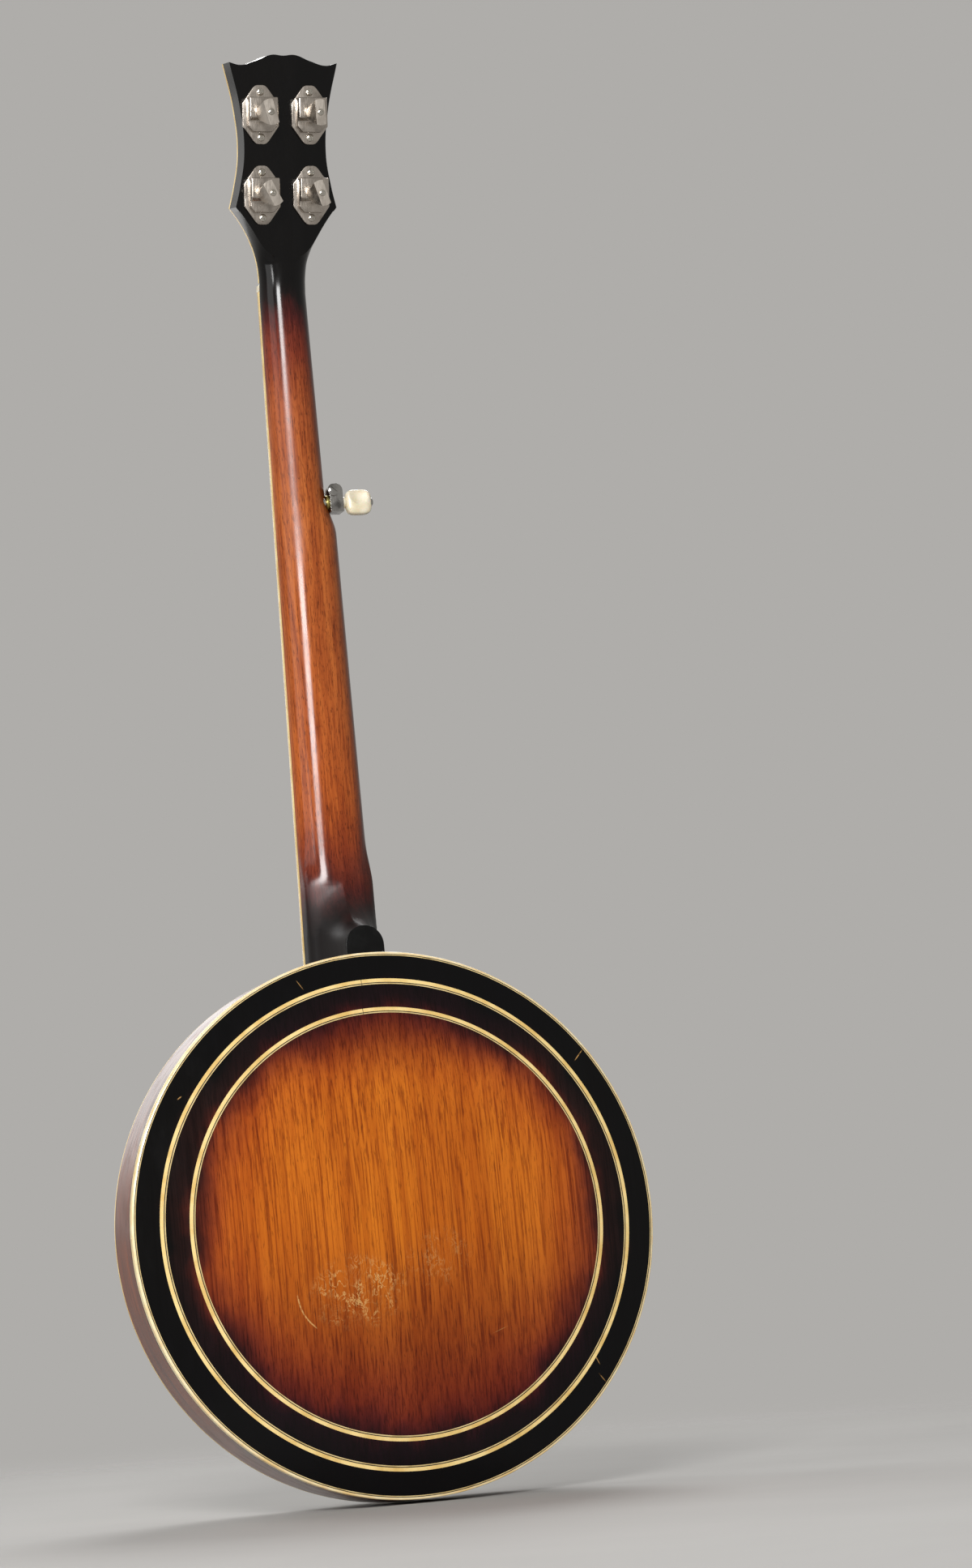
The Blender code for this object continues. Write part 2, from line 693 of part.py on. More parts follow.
def pot_clearance():
    """What the hoop, the flange and the rim take from the heel."""
    play = 0.4 * MM
    hoop, rim, band, tone = (r + play for r in (HOOP_OUTER, RIM_OUTER, FLANGE_BAND, TONE_RING_RADIUS))
    slot_front, slot_back = FLANGE_FRONT + play, FLANGE_BACK - play
    step, front = HOOP_BACK - play, HOOP_FRONT + 5 * MM
    profile = [
        (0, front),
        (hoop, front),
        (hoop, step),
        (tone, step),
        (tone, RIM_FRONT),
        (rim, RIM_FRONT),
        (rim, slot_front),
        (band, slot_front),
        (band, slot_back),
        (rim, slot_back),
        (rim, 0),
        (0, 0),
    ]
    return turned("pot_clearance", profile, closed=False, steps=120)


def along_neck(z, depth):
    """A point on the neck's middle line, at a depth under the fingerboard's top."""
    share = (NUT_Z - z) / BOARD_RUN
    return (NUT_CENTRE_X * (1 - share), board_top(z) - depth, z)


def headstock_slab():
    """The part of the headstock above its flare: two lower points, a waist, two horns and a low crown."""
    half = [
        (headstock_half(SLAB_START), SLAB_START, "VECTOR"),
        (headstock_half(39 * MM), 39 * MM, "AUTO"),
        (headstock_half(46 * MM), 46 * MM, "AUTO"),
        (FLARE_HALF, FLARE_LENGTH, "VECTOR"),
        (31.6 * MM, 66 * MM, "AUTO"),
        (28.4 * MM, 88 * MM, "AUTO"),
        (30.6 * MM, 117 * MM, "AUTO"),
        (37.4 * MM, 147.5 * MM, "VECTOR"),
        (29.5 * MM, 145.8 * MM, "AUTO"),
        (18.5 * MM, 148.8 * MM, "AUTO"),
        (8.0 * MM, 152.7 * MM, "AUTO"),
    ]
    return half + [(0, 152.2 * MM, "AUTO")] + [(-x, y, kind) for x, y, kind in reversed(half)]


def rod_pocket(name, low, high):
    """The opening at the truss rod's nut."""
    half, foot, top = 6 * MM, 5.5 * MM, 27 * MM
    return box(name, (-half, foot, low), (half, top, high), HEADSTOCK_FRAME)


def post_places():
    """Each rear tuner's name and its place on the headstock, in the headstock's own frame."""
    places = {}
    for row, s in POST_ROWS.items():
        # The headstock's own X axis points to the treble side.
        places[f"{row}_treble"] = (POST_SPREAD, s)
        places[f"{row}_bass"] = (-POST_SPREAD, s)
    return places


def neck():
    body = neck_shaft()
    slab = flat("headstock_slab", [headstock_slab()], -HEADSTOCK_THICKNESS, 0, HEADSTOCK_FRAME)
    join(body, heel_block(), slab)
    channel = rod(
        "truss_channel",
        along_neck(TRUSS_ROD_LOW_Z - 4 * MM, TRUSS_ROD_DEPTH),
        along_neck(TRUSS_ROD_TOP_Z + 4 * MM, TRUSS_ROD_DEPTH),
        TRUSS_ROD_RADIUS + 0.5 * MM,
        12,
    )
    cut(body, pot_clearance(), channel, rod_pocket("truss_pocket", -9.5 * MM, 5 * MM))
    for name, (x, s) in post_places().items():
        low, high = -HEADSTOCK_THICKNESS - MM, MM
        cut(body, rod(f"post_hole_{name}", (x, s, low), (x, s, high), POST_HOLE, 16, HEADSTOCK_FRAME))
    for place, y in ROD_PLACES.items():
        start, end = POT_Z + RIM_OUTER - 3 * MM, POT_Z + RIM_INNER + 57 * MM
        cut(body, rod(f"bolt_hole_{place}", (0, y, start), (0, y, end), BORE_RADIUS, 12))
    shank, collar_seat, outside = ((x * MM, PEG_WORM_Y, PEG_WORM_Z) for x in (5, 12.4, 30))
    cut(body, rod("peg_shank_hole", shank, outside, 3.3 * MM, 12))
    cut(body, rod("peg_collar_seat", collar_seat, outside, 5.3 * MM, 16))
    room = box("peg_room", (PEG_BODY_LOW - GAP, 43 * MM, 650.5 * MM), (30 * MM, 55.4 * MM, 672 * MM))
    dress(cut(body, room), MAHOGANY)


def heel_cap():
    foot = HEEL_FOOT_Z + 2.5 * MM
    shape = HEEL_LEVELS[0][1:]
    rings = [heel_arch((y / MM, *shape), foot) for y in (HEEL_CAP_BACK, HEEL_CAP_FRONT)]
    dress(loft("heel_cap", rings), BLACK_LACQUER)


def fret_z(number):
    return NUT_Z - SCALE_LENGTH * (1 - 2 ** (-number / 12))


def frets():
    made = bmesh.new()
    inset, sink, crown = 0.2 * MM, 1.0 * MM, 0.5 * MM
    for number in range(1, FRETS + 1):
        z = fret_z(number)
        top, left, right = board_top(z), -edge_half(z) + inset, bass_edge(z) - inset
        section = [(-FRET_WIDTH / 2, -sink), (-FRET_WIDTH / 2, 0), (-crown, FRET_HEIGHT)]
        section += [(-a, b) for a, b in reversed(section)]
        loops = [[made.verts.new((x, top + b, z + a)) for a, b in section] for x in (left, right)]
        for i in range(len(section)):
            j = (i + 1) % len(section)
            made.faces.new((loops[0][i], loops[0][j], loops[1][j], loops[1][i]))
        made.faces.new(loops[0])
        made.faces.new(loops[1])
    bmesh.ops.recalc_face_normals(made, faces=made.faces)
    return new_object("frets", made)


def fingerboard():
    """The board and its frets as one solid."""
    rings = []
    heights = (400, 500, 600, 637, 642, 647, 652, 657, 663, 730)
    for z in [BOARD_END_Z] + [height * MM for height in heights] + [NUT_Z]:
        top = board_top(z)
        low, left, right = top - BOARD_THICKNESS, -edge_half(z), bass_edge(z)
        rings.append([(left, low, z), (right, low, z), (right, top, z), (left, top, z)])
    dress(join(loft("fingerboard", rings), frets()), ROSEWOOD)


def nuts():
    low, top = board_top(NUT_Z) - BOARD_THICKNESS, STRING_AT_NUT_Y - 0.6 * MM
    start, end = NUT_Z + GAP, NUT_Z + NUT_LENGTH
    left, right = NUT_CENTRE_X - NUT_HALF_WIDTH, NUT_CENTRE_X + NUT_HALF_WIDTH
    slope = 1.4 * MM
    section = [(low, start), (low, end), (top - slope, end), (top, start)]
    rings = [[(x, y, z) for y, z in section] for x in (left, right)]
    dress(loft("nut", rings), BONE)
    z = fret_z(5) + 4.5 * MM
    foot = (FIFTH_NUT_X, board_top(z) + GAP, z)
    crest = (FIFTH_NUT_X, board_top(z) + 1.9 * MM, z)
    dress(rod("fifth_string_nut", foot, crest, 1.6 * MM, 10, radius_end=1.3 * MM), BONE)


def headstock_overlay():
    foot = 2.6 * MM
    start = [(headstock_half(foot), foot, "VECTOR")]
    start += [(headstock_half(s), s, "AUTO") for s in (12 * MM, 22 * MM)]
    upper = headstock_slab()
    outline = start + upper + [(-x, y, kind) for x, y, kind in reversed(start)]
    low, high = GAP, GAP + OVERLAY_THICKNESS
    overlay = flat("headstock_overlay", [outline], low, high, HEADSTOCK_FRAME)
    for name, (x, s) in post_places().items():
        start, end = (x, s, -MM), (x, s, high + MM)
        cut(overlay, rod(f"overlay_hole_{name}", start, end, POST_HOLE, 16, HEADSTOCK_FRAME))
    dress(cut(overlay, rod_pocket("overlay_pocket", -MM, 5 * MM)), BLACK_LACQUER)
    cover = [
        (8.5 * MM, 6 * MM, "VECTOR"),
        (8.0 * MM, 16 * MM, "AUTO"),
        (6.6 * MM, 30 * MM, "AUTO"),
        (0, 40 * MM, "AUTO"),
    ]
    cover += [(-x, y, kind) for x, y, kind in reversed(cover[:-1])]
    low = high + GAP
    dress(flat("truss_rod_cover", [cover], low, low + 1.6 * MM, HEADSTOCK_FRAME), BLACK_LACQUER)


def truss_rod():
    low, top = along_neck(TRUSS_ROD_LOW_Z, TRUSS_ROD_DEPTH), along_neck(TRUSS_ROD_TOP_Z, TRUSS_ROD_DEPTH)
    dress(rod("truss_rod", low, top, TRUSS_ROD_RADIUS, 10), STEEL)
    start, end = along_neck(815.5 * MM, TRUSS_ROD_DEPTH), along_neck(823.5 * MM, TRUSS_ROD_DEPTH)
    nut = rod("truss_rod_nut", start, end, 4.2 * MM, 6)
    bore_start, bore_end = along_neck(810 * MM, TRUSS_ROD_DEPTH), along_neck(829 * MM, TRUSS_ROD_DEPTH)
    dress(cut(nut, rod("truss_nut_bore", bore_start, bore_end, TRUSS_ROD_RADIUS + 0.1 * MM, 16)), STEEL)


# Tuners


def tuner_housing(name, frame):
    """A plate with a gear case behind the headstock, and a barrel through it to the front."""
    back = -HEADSTOCK_THICKNESS - GAP
    plate_back, case_back, step_back = back - 2 * MM, back - 10.2 * MM, back - 7.0 * MM
    quarter = [(12.5 * MM, 7.5 * MM), (5.2 * MM, 17.5 * MM), (2.4 * MM, 19.5 * MM)]
    right = [(x, -y) for x, y in reversed(quarter)] + quarter
    outline = right + [(-x, y) for x, y in reversed(right)]
    housing = flat(name, [outline], plate_back, back, frame)
    half = 9.8 * MM
    upper = box(f"{name}_case", (-half, -5 * MM, case_back), (half, 11.5 * MM, back - MM), frame)
    foot = [(-half, -4 * MM), (-half, -8 * MM), (-6.4 * MM, -11.8 * MM)]
    foot += [(-x, y) for x, y in reversed(foot)]
    lower = flat(f"{name}_foot", [foot], step_back, back - MM, frame)
    barrel = rod(f"{name}_barrel", (0, 0, back - MM), (0, 0, 6 * MM), 4.4 * MM, 16, frame)
    collar = rod(f"{name}_collar", (0, 0, 2.7 * MM), (0, 0, 4.6 * MM), 6.8 * MM, 16, frame)
    bore = rod(f"{name}_bore", (0, 0, -40 * MM), (0, 0, 10 * MM), POST_RADIUS + 0.15 * MM, 14, frame)
    dress(cut(join(housing, upper, lower, barrel, collar), bore), NICKEL)


def tuner_post(name, frame):
    profile = [
        (0, 25 * MM),
        (2.4 * MM, 24.6 * MM),
        (3.0 * MM, 23 * MM),
        (3.0 * MM, 20 * MM),
        (2.3 * MM, 17.5 * MM),
        (2.3 * MM, 14.5 * MM),
        (POST_RADIUS, 11 * MM),
        (POST_RADIUS, -20 * MM),
        (0, -20 * MM),
    ]
    dress(turned(name, profile, frame, 14, closed=False), NICKEL)


def tuner_button(name, frame, turn):
    """A disc that narrows to a thick wing, with a screw in its end."""
    foot, end = -HEADSTOCK_THICKNESS - 11.0 * MM, -HEADSTOCK_THICKNESS - 26.0 * MM
    radius, half_thick = 9.0 * MM, 4.4 * MM
    made = bmesh.new()
    bmesh.ops.create_cone(
        made,
        cap_ends=True,
        segments=20,
        radius1=radius,
        radius2=radius,
        depth=foot - end,
        matrix=Matrix.Translation((0, 0, (foot + end) / 2)),
    )
    for vert in made.verts:
        if vert.co.z < (foot + end) / 2:
            vert.co.x = min(max(vert.co.x, -half_thick), half_thick)
    turned_frame = frame @ Matrix.Rotation(math.radians(turn), 4, "Z")
    button = new_object(name, made, turned_frame)
    shaft = rod(f"{name}_shaft", (0, 0, foot - MM), (0, 0, -21 * MM), POST_RADIUS, 14, turned_frame)
    screw = rod(f"{name}_screw", (0, 0, end + MM), (0, 0, end - MM), 2.6 * MM, 12, turned_frame, 1.6 * MM)
    dress(join(button, shaft, screw), NICKEL)


def rear_tuners():
    for name, (x, s) in post_places().items():
        frame = HEADSTOCK_FRAME @ Matrix.Translation((x, s, 0))
        tuner_housing(f"tuner_housing_{name}", frame)
        tuner_post(f"tuner_post_{name}", frame)
        tuner_button(f"tuner_button_{name}", frame, WING_TURNS[name])


def fifth_peg():
    """A worm along X turns a small gear whose post stands along Y beside the fingerboard."""
    fifth_peg_housing()
    fifth_peg_post()
    fifth_peg_button()


def along_worm(name, start, end, radius, sides):
    """A rod on the worm's axis, between two distances from the neck's middle plane."""
    y, z = PEG_WORM_Y, PEG_WORM_Z
    return rod(name, (start, y, z), (end, y, z), radius, sides)


def across_worm(name, x, reach, radius, sides):
    """A rod beside the worm, as far to the front of it as to the back."""
    y, z = PEG_WORM_Y, PEG_POST_Z
    return rod(name, (x, y - reach, z), (x, y + reach, z), radius, sides)


def fifth_peg_housing():
    y, half, foot_z = PEG_WORM_Y, PEG_HALF_DEPTH, 651 * MM
    low, high = PEG_BODY_LOW, PEG_BODY_HIGH
    middle = (low + high) / 2
    body = box("fifth_peg_housing", (low, y - half, foot_z), (high, y + half, PEG_POST_Z))
    round_end = across_worm("peg_housing_end", middle, half, middle - low, 20)
    shank = along_worm("peg_shank", 6 * MM, low + MM, 3.0 * MM, 12)
    collar = along_worm("peg_collar", 12.8 * MM, low + 0.5 * MM, 4.9 * MM, 16)
    join(body, round_end, shank, collar)
    gear_room = across_worm("gear_room", PEG_POST_X, PEG_GEAR_HALF + GAP, 2.75 * MM, 20)
    post_bore = across_worm("post_bore", PEG_POST_X, 20 * MM, 2.1 * MM, 16)
    worm_bore = along_worm("worm_bore", 16.2 * MM, 40 * MM, 2.2 * MM, 16)
    link = rod("gear_window", (PEG_POST_X, y, PEG_WORM_Z), (PEG_POST_X, y, PEG_POST_Z), 2.0 * MM, 12)
    dress(cut(body, gear_room, post_bore, worm_bore, link), NICKEL)


def fifth_peg_post():
    y, half, gear = PEG_WORM_Y, PEG_HALF_DEPTH, PEG_GEAR_HALF
    frame = Matrix.Translation((PEG_POST_X, 0, PEG_POST_Z)) @ Matrix.Rotation(-math.pi / 2, 4, "X")
    profile = [
        (0, 67.5 * MM),
        (2.0 * MM, 67.2 * MM),
        (2.0 * MM, 65.6 * MM),
        (1.4 * MM, 64.8 * MM),
        (1.4 * MM, 63.4 * MM),
        (2.0 * MM, 62.4 * MM),
        (2.0 * MM, y + gear),
        (2.5 * MM, y + gear),
        (2.5 * MM, y - gear),
        (2.0 * MM, y - gear),
        (2.0 * MM, y - half - GAP),
        (4.1 * MM, y - half - GAP),
        (4.1 * MM, y - half - 1.3 * MM),
        (3.0 * MM, y - half - 2.0 * MM),
        (0, y - half - 2.0 * MM),
    ]
    dress(turned("fifth_peg_post", profile, frame, 16, closed=False), NICKEL)


def rounded(obj, width, segments):
    bevel = obj.modifiers.new("Round", "BEVEL")
    bevel.width = width
    bevel.segments = segments
    return obj


def fifth_peg_button():
    y, z = PEG_WORM_Y, PEG_WORM_Z
    near, far, half_y, half_z = 26.8 * MM, 44.6 * MM, 4.6 * MM, 8.5 * MM
    grip = box("fifth_peg_button", (near, y - half_y, z - half_z), (far, y + half_y, z + half_z))
    worm = along_worm("peg_worm", 16.6 * MM, near + MM, 2.1 * MM, 16)
    ring = along_worm("peg_ring", PEG_BODY_HIGH + 0.4 * MM, near + 0.1 * MM, 3.8 * MM, 16)
    tip = along_worm("peg_tip", far - 0.6 * MM, far + 1.4 * MM, 2.8 * MM, 12)
    dress(join(rounded(grip, 3.6 * MM, 3), worm, ring, tip), BONE)


# Bridge, strings and tailpiece


def bridge():
    """A three-footed bridge that stands on the head."""
    foot_y, top_y = HEAD_TOP + GAP, HEAD_TOP + GAP + BRIDGE_HEIGHT
    arch_top = foot_y + 8.5 * MM
    half = [
        (4.0 * MM, foot_y),
        (6.0 * MM, arch_top - 2 * MM),
        (10 * MM, arch_top),
        (22 * MM, arch_top),
        (27 * MM, arch_top - 3 * MM),
        (29 * MM, foot_y),
        (36 * MM, foot_y),
        (34 * MM, foot_y + 6 * MM),
        (26 * MM, top_y - 1.5 * MM),
        (25 * MM, top_y),
    ]
    outline = half + [(-x, y) for x, y in reversed(half)]
    frame = Matrix.Translation((0, 0, BRIDGE_Z))
    dress(flat("bridge", [outline], -1.6 * MM, 1.6 * MM, frame), MAPLE)


def tail_start(index):
    """Where a string leaves the tailpiece."""
    x = (index - 2) * STRING_SPACING_TAIL
    return (x, TAIL_PLATE_FRONT + 1.5 * MM, TAIL_TOP_Z - 5 * MM)


def string_line(name, route, radius):
    dress(tube(name, [[(place, 1.0) for place in route]], radius), STEEL)


def strings():
    """Five strings from the tailpiece over the bridge and the nuts to their posts."""
    places = post_places()
    rows = ("lower_treble", "upper_treble", "upper_bass", "lower_bass")
    for index in range(4):
        x_nut = NUT_CENTRE_X + (index - 1.5) * STRING_SPACING_NUT
        x, s = places[rows[index]]
        inward = -math.copysign(2.3 * MM + GAP + STRING_RADII[index], x)
        post = HEADSTOCK_FRAME @ Vector((x + inward, s + 3 * MM, 16 * MM))
        route = [
            tail_start(index),
            ((index - 2) * STRING_SPACING_BRIDGE, STRING_AT_BRIDGE_Y, BRIDGE_Z),
            (x_nut, STRING_AT_NUT_Y, NUT_Z + MM),
            (x_nut, STRING_AT_NUT_Y - 0.3 * MM, NUT_Z + NUT_LENGTH),
            tuple(post),
        ]
        string_line(f"string_{index + 1}", route, STRING_RADII[index])
    z = fret_z(5) + 4.5 * MM
    route = [
        tail_start(4),
        (2 * STRING_SPACING_BRIDGE, STRING_AT_BRIDGE_Y, BRIDGE_Z),
        (FIFTH_NUT_X, board_top(z) + 2.3 * MM, z),
        (PEG_POST_X - 1.4 * MM - GAP - STRING_RADII[4], 64.1 * MM, PEG_POST_Z + MM),
    ]
    string_line("string_5", route, STRING_RADII[4])


def along_hinge(name, low, high, radius, sides=16):
    """A rod on the tailpiece's hinge."""
    return rod(name, (low, TAIL_HINGE_Y, TAIL_HINGE_Z), (high, TAIL_HINGE_Y, TAIL_HINGE_Z), radius, sides)


def tailpiece_base(pin_hole):
    """The plate that the strings hook on, with the outer knuckles of its cover's hinge."""
    back, front, half = TAIL_PLATE_BACK, TAIL_PLATE_FRONT, TAIL_HALF_WIDTH
    y, z, sunk = TAIL_HINGE_Y, TAIL_HINGE_Z, front - 0.5 * MM
    plate = box("tailpiece_base", (-half, back, 26 * MM), (half, front, TAIL_TOP_Z))
    join(plate, box("tail_lip", (-half, sunk, TAIL_TOP_Z - 3.5 * MM), (half, front + MM, TAIL_TOP_Z)))
    for side, (low, high) in {"treble": (-half, -10 * MM), "bass": (10 * MM, half)}.items():
        web = box(f"tail_web_{side}", (low, sunk, z - 1.2 * MM), (high, y, z + 1.2 * MM))
        join(plate, web, along_hinge(f"tail_knuckle_{side}", low, high, TAIL_KNUCKLE))
    start, end = (0, back - MM, TAIL_SCREW_Z), (0, front + MM, TAIL_SCREW_Z)
    dress(cut(plate, pin_hole, rod("tail_screw_hole", start, end, 2.3 * MM, 14)), NICKEL)


def tailpiece_cover(pin_hole):
    back, front, half = 83.7 * MM, 85.2 * MM, TAIL_HALF_WIDTH + 0.5 * MM
    y, z, leaf = TAIL_HINGE_Y, TAIL_HINGE_Z, 9.6 * MM
    cover = box("tailpiece_cover", (-half, back, z + 3 * MM), (half, front, TAIL_TOP_Z + 4 * MM))
    web = box("cover_web", (-leaf, y + 0.8 * MM, z - 0.4 * MM), (leaf, front - 0.2 * MM, z + 4 * MM))
    knuckle = along_hinge("cover_knuckle", -leaf, leaf, TAIL_KNUCKLE)
    dress(cut(join(rounded(cover, 0.6 * MM, 1), web, knuckle), pin_hole), NICKEL)


def tailpiece_screw():
    seat, head = HOOP_FRONT + GAP, TAIL_PLATE_FRONT + 0.5 * MM
    shank, radius, top = 2.0 * MM, 3.4 * MM, TAIL_PLATE_FRONT + 3.5 * MM
    frame = Matrix.Translation((0, 0, TAIL_SCREW_Z)) @ Matrix.Rotation(-math.pi / 2, 4, "X")
    profile = [(0, top), (radius, top), (radius, head), (shank, head), (shank, seat), (0, seat)]
    dress(turned("tailpiece_screw", profile, frame, 14, closed=False), NICKEL)


def tailpiece_hanger():
    """The bent strap from the upper rod's stud to the tailpiece, round the flange and the hoop."""
    arm, strap_back, shelf_back, shelf_front = 8 * MM, 44.6 * MM, 56 * MM, 58 * MM
    stem_low, stem_high, strap_low, strap_high = 22.5 * MM, 24.5 * MM, 32.6 * MM, 34.6 * MM
    strap = box("tailpiece_hanger", (-arm, strap_back, strap_low), (arm, shelf_front, strap_high))
    shelf = box("hanger_shelf", (-arm, shelf_back, stem_low), (arm, shelf_front, strap_high))
    stem = box("hanger_stem", (-arm, shelf_back, stem_low), (arm, TAIL_PLATE_FRONT, stem_high))
    y = ROD_PLACES["upper"]
    hole = rod("hanger_hole", (0, y, strap_low - 2 * MM), (0, y, strap_high + 2 * MM), BORE_RADIUS, 14)
    dress(cut(join(strap, shelf, stem), hole), NICKEL)


def tailpiece():
    pin_hole = along_hinge("tail_pin_hole", -30 * MM, 30 * MM, 1.25 * MM, 14)
    tailpiece_base(pin_hole)
    tailpiece_cover(pin_hole)
    dress(along_hinge("tailpiece_hinge_pin", -TAIL_HALF_WIDTH, TAIL_HALF_WIDTH, 1.0 * MM, 12), STEEL)
    tailpiece_screw()
    tailpiece_hanger()


def armrest():
    """A bent plate over the hoop on the bass side, and the strap that carries it."""
    middle, half = math.radians(135), math.radians(23)
    top = [(139.5, 83.6), (147, 84.0), (154, 82.6), (160, 79.4), (163.5, 74.5)]
    low = [(r - 0.3, y - 1.5) for r, y in reversed(top)]
    steps = 10
    rings = []
    for i in range(steps + 1):
        angle = middle + half * (2 * i / steps - 1)
        rings.append([pot_point(r * MM, angle, y * MM) for r, y in top + low])
    dress(loft("armrest", rings), NICKEL)
    frame = at_angle(middle + math.radians(1.0), 153 * MM)
    strap = box("armrest_bracket", (0.5 * MM, -9 * MM, 46 * MM), (2.5 * MM, 9 * MM, 79.6 * MM), frame)
    foot = box("bracket_foot", (-1.0 * MM, -12 * MM, 44 * MM), (3.0 * MM, 12 * MM, 47 * MM), frame)
    dress(join(strap, foot), NICKEL)


def main():
    opening = heel_opening()
    resonator_back()
    ring_inlays()
    resonator_side(opening)
    resonator_back_binding()
    wall_lugs_and_screws()
    rim_and_tone_ring()
    head()
    tension_hoop()
    flange()
    coordinator_rods()
    neck()
    heel_cap()
    fingerboard()
    nuts()
    headstock_overlay()
    truss_rod()
    rear_tuners()
    fifth_peg()
    bridge()
    strings()
    tailpiece()
    armrest()


main()
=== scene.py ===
"""The looks of a five-string resonator banjo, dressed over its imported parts.

The classes hold their sizes in millimetres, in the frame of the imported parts: +Z runs up the neck, -Y is the
back and +X is the side of the short fifth string. Meshes are shaped in millimetres and turned to metres once,
where a piece is made.
"""

import logging
import math
from collections.abc import Callable, Iterable, Sequence
from dataclasses import dataclass
from enum import Enum
from typing import Any

import bmesh
import bpy
from bmesh.types import BMEdge, BMesh, BMFace, BMVert
from bpy.types import ID, Curve, Light, Material, Node, NodeSocket, NodeTree, Object
from mathutils import Matrix, Vector


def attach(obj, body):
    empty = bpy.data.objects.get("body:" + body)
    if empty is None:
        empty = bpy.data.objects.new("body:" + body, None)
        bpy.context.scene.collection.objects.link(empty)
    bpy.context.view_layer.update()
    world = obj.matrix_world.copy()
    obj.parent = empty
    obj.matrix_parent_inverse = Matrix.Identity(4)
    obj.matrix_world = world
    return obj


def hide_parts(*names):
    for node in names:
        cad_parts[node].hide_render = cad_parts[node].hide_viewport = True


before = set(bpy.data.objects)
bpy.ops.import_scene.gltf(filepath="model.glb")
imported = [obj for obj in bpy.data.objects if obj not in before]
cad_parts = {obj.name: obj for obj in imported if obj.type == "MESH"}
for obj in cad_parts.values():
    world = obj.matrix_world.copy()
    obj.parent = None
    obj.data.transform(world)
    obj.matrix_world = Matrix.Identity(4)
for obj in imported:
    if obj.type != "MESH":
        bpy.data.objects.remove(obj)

LOG = logging.getLogger("banjo")
MM = 0.001
TAU = math.tau
WELD = 1e-4
SHARP_ANGLE = math.radians(35)
POT_RADIUS = 175.0

Flat = tuple[float, float]
Place = tuple[float, float, float]
Knot = tuple[float, float, str]
Colour = tuple[float, float, float, float]
Stops = tuple[tuple[float, str], ...]
Layer = tuple[Place, Flat, Flat, str]
Inputs = dict[int | str, Any]
Outline = Callable[[float], float]


# Frames


def spun_frame(centre: Place) -> Matrix:
    """A frame whose own Z runs along the banjo's +Y, from back to front, about a centre."""
    return Matrix.Translation(centre) @ Matrix.Rotation(-math.pi / 2, 4, "X")


def lying_frame(centre: Place) -> Matrix:
    """A frame whose own Z runs along the banjo's +X, about a centre."""
    return Matrix.Translation(centre) @ Matrix.Rotation(math.pi / 2, 4, "Y")


POT = spun_frame((0, 0, POT_RADIUS))
# Turns a plate drawn as (x, -z) so that it stands upright and gets its thickness along Y.
UPRIGHT = Matrix.Rotation(-math.pi / 2, 4, "X")
UNDERSIDE = Matrix.Rotation(math.pi, 4, "X")


def around_pot(angle: float, radius: float = 0.0, depth: float = 0.0) -> Matrix:
    """A frame on the pot, with X pointing outwards and Z to the front.

    Args:
        angle: Angle from straight up towards +X, in radians.
        radius: Distance from the pot's axis.
        depth: Place along the pot's axis.

    Returns:
        The frame's matrix.
    """
    turn = Matrix.Rotation(angle - math.pi / 2, 4, "Z")
    return POT @ turn @ Matrix.Translation((radius, 0, depth))


# Meshes


def linked(name: str, data: ID) -> Object:
    """Puts data in the scene.

    Args:
        name: The object's name.
        data: Its mesh, curve, lamp or camera.

    Returns:
        The object.
    """
    made = bpy.data.objects.new(name, data)
    bpy.context.scene.collection.objects.link(made)
    return made


def evaluated(holder: Object) -> BMesh:
    """Reads an object as its modifiers or its curve settings make it.

    Args:
        holder: The object.

    Returns:
        Its mesh, with its caps and doubles welded.
    """
    bpy.context.view_layer.update()
    mesh = bpy.data.meshes.new_from_object(holder.evaluated_get(bpy.context.evaluated_depsgraph_get()))
    made = bmesh.new()
    made.from_mesh(mesh)
    bpy.data.meshes.remove(mesh)
    bmesh.ops.remove_doubles(made, verts=made.verts, dist=WELD)
    return made


def closed(made: BMesh, edges: Iterable[BMEdge] = ()) -> BMesh:
    """Fills holes and turns all faces outwards.

    Args:
        made: The mesh.
        edges: The edges round the holes.

    Returns:
        The same mesh.
    """
    bmesh.ops.holes_fill(made, edges=list(edges), sides=0)
    bmesh.ops.recalc_face_normals(made, faces=made.faces)
    return made


def lathe(
    profile: Sequence[Flat], steps: int = 192, ring: bool = True, start: float = 0.0, turn: float = TAU
) -> BMesh:
    """Spins a profile about the Z axis.

    Args:
        profile: Points of radius and height.
        steps: Steps in the whole turn.
        ring: Whether the profile's last point joins its first one. Otherwise both lie on the axis.
        start: Angle of the profile.
        turn: Angle that it is spun through. A part of a turn gets closed ends.

    Returns:
        A closed mesh.
    """
    made = bmesh.new()
    verts = [made.verts.new((r * math.cos(start), r * math.sin(start), h)) for r, h in profile]
    pairs = list(zip(verts, verts[1:])) + ([(verts[-1], verts[0])] if ring else [])
    edges = [made.edges.new(pair) for pair in pairs]
    bmesh.ops.spin(
        made,
        geom=verts + edges,
        cent=(0, 0, 0),
        axis=(0, 0, 1),
        angle=turn,
        steps=steps,
        use_merge=turn == TAU,
        use_duplicate=False,
    )
    bmesh.ops.remove_doubles(made, verts=made.verts, dist=WELD)
    return closed(made, [e for e in made.edges if e.is_boundary] if turn < TAU else [])


def block(low: Place, high: Place) -> BMesh:
    """A box.

    Args:
        low: Its lowest corner.
        high: Its highest corner.

    Returns:
        A closed mesh.
    """
    made = bmesh.new()
    size = Vector(high) - Vector(low)
    place = Matrix.Translation((Vector(low) + Vector(high)) / 2) @ Matrix.Diagonal((*size, 1))
    bmesh.ops.create_cube(made, size=1, matrix=place)
    return made


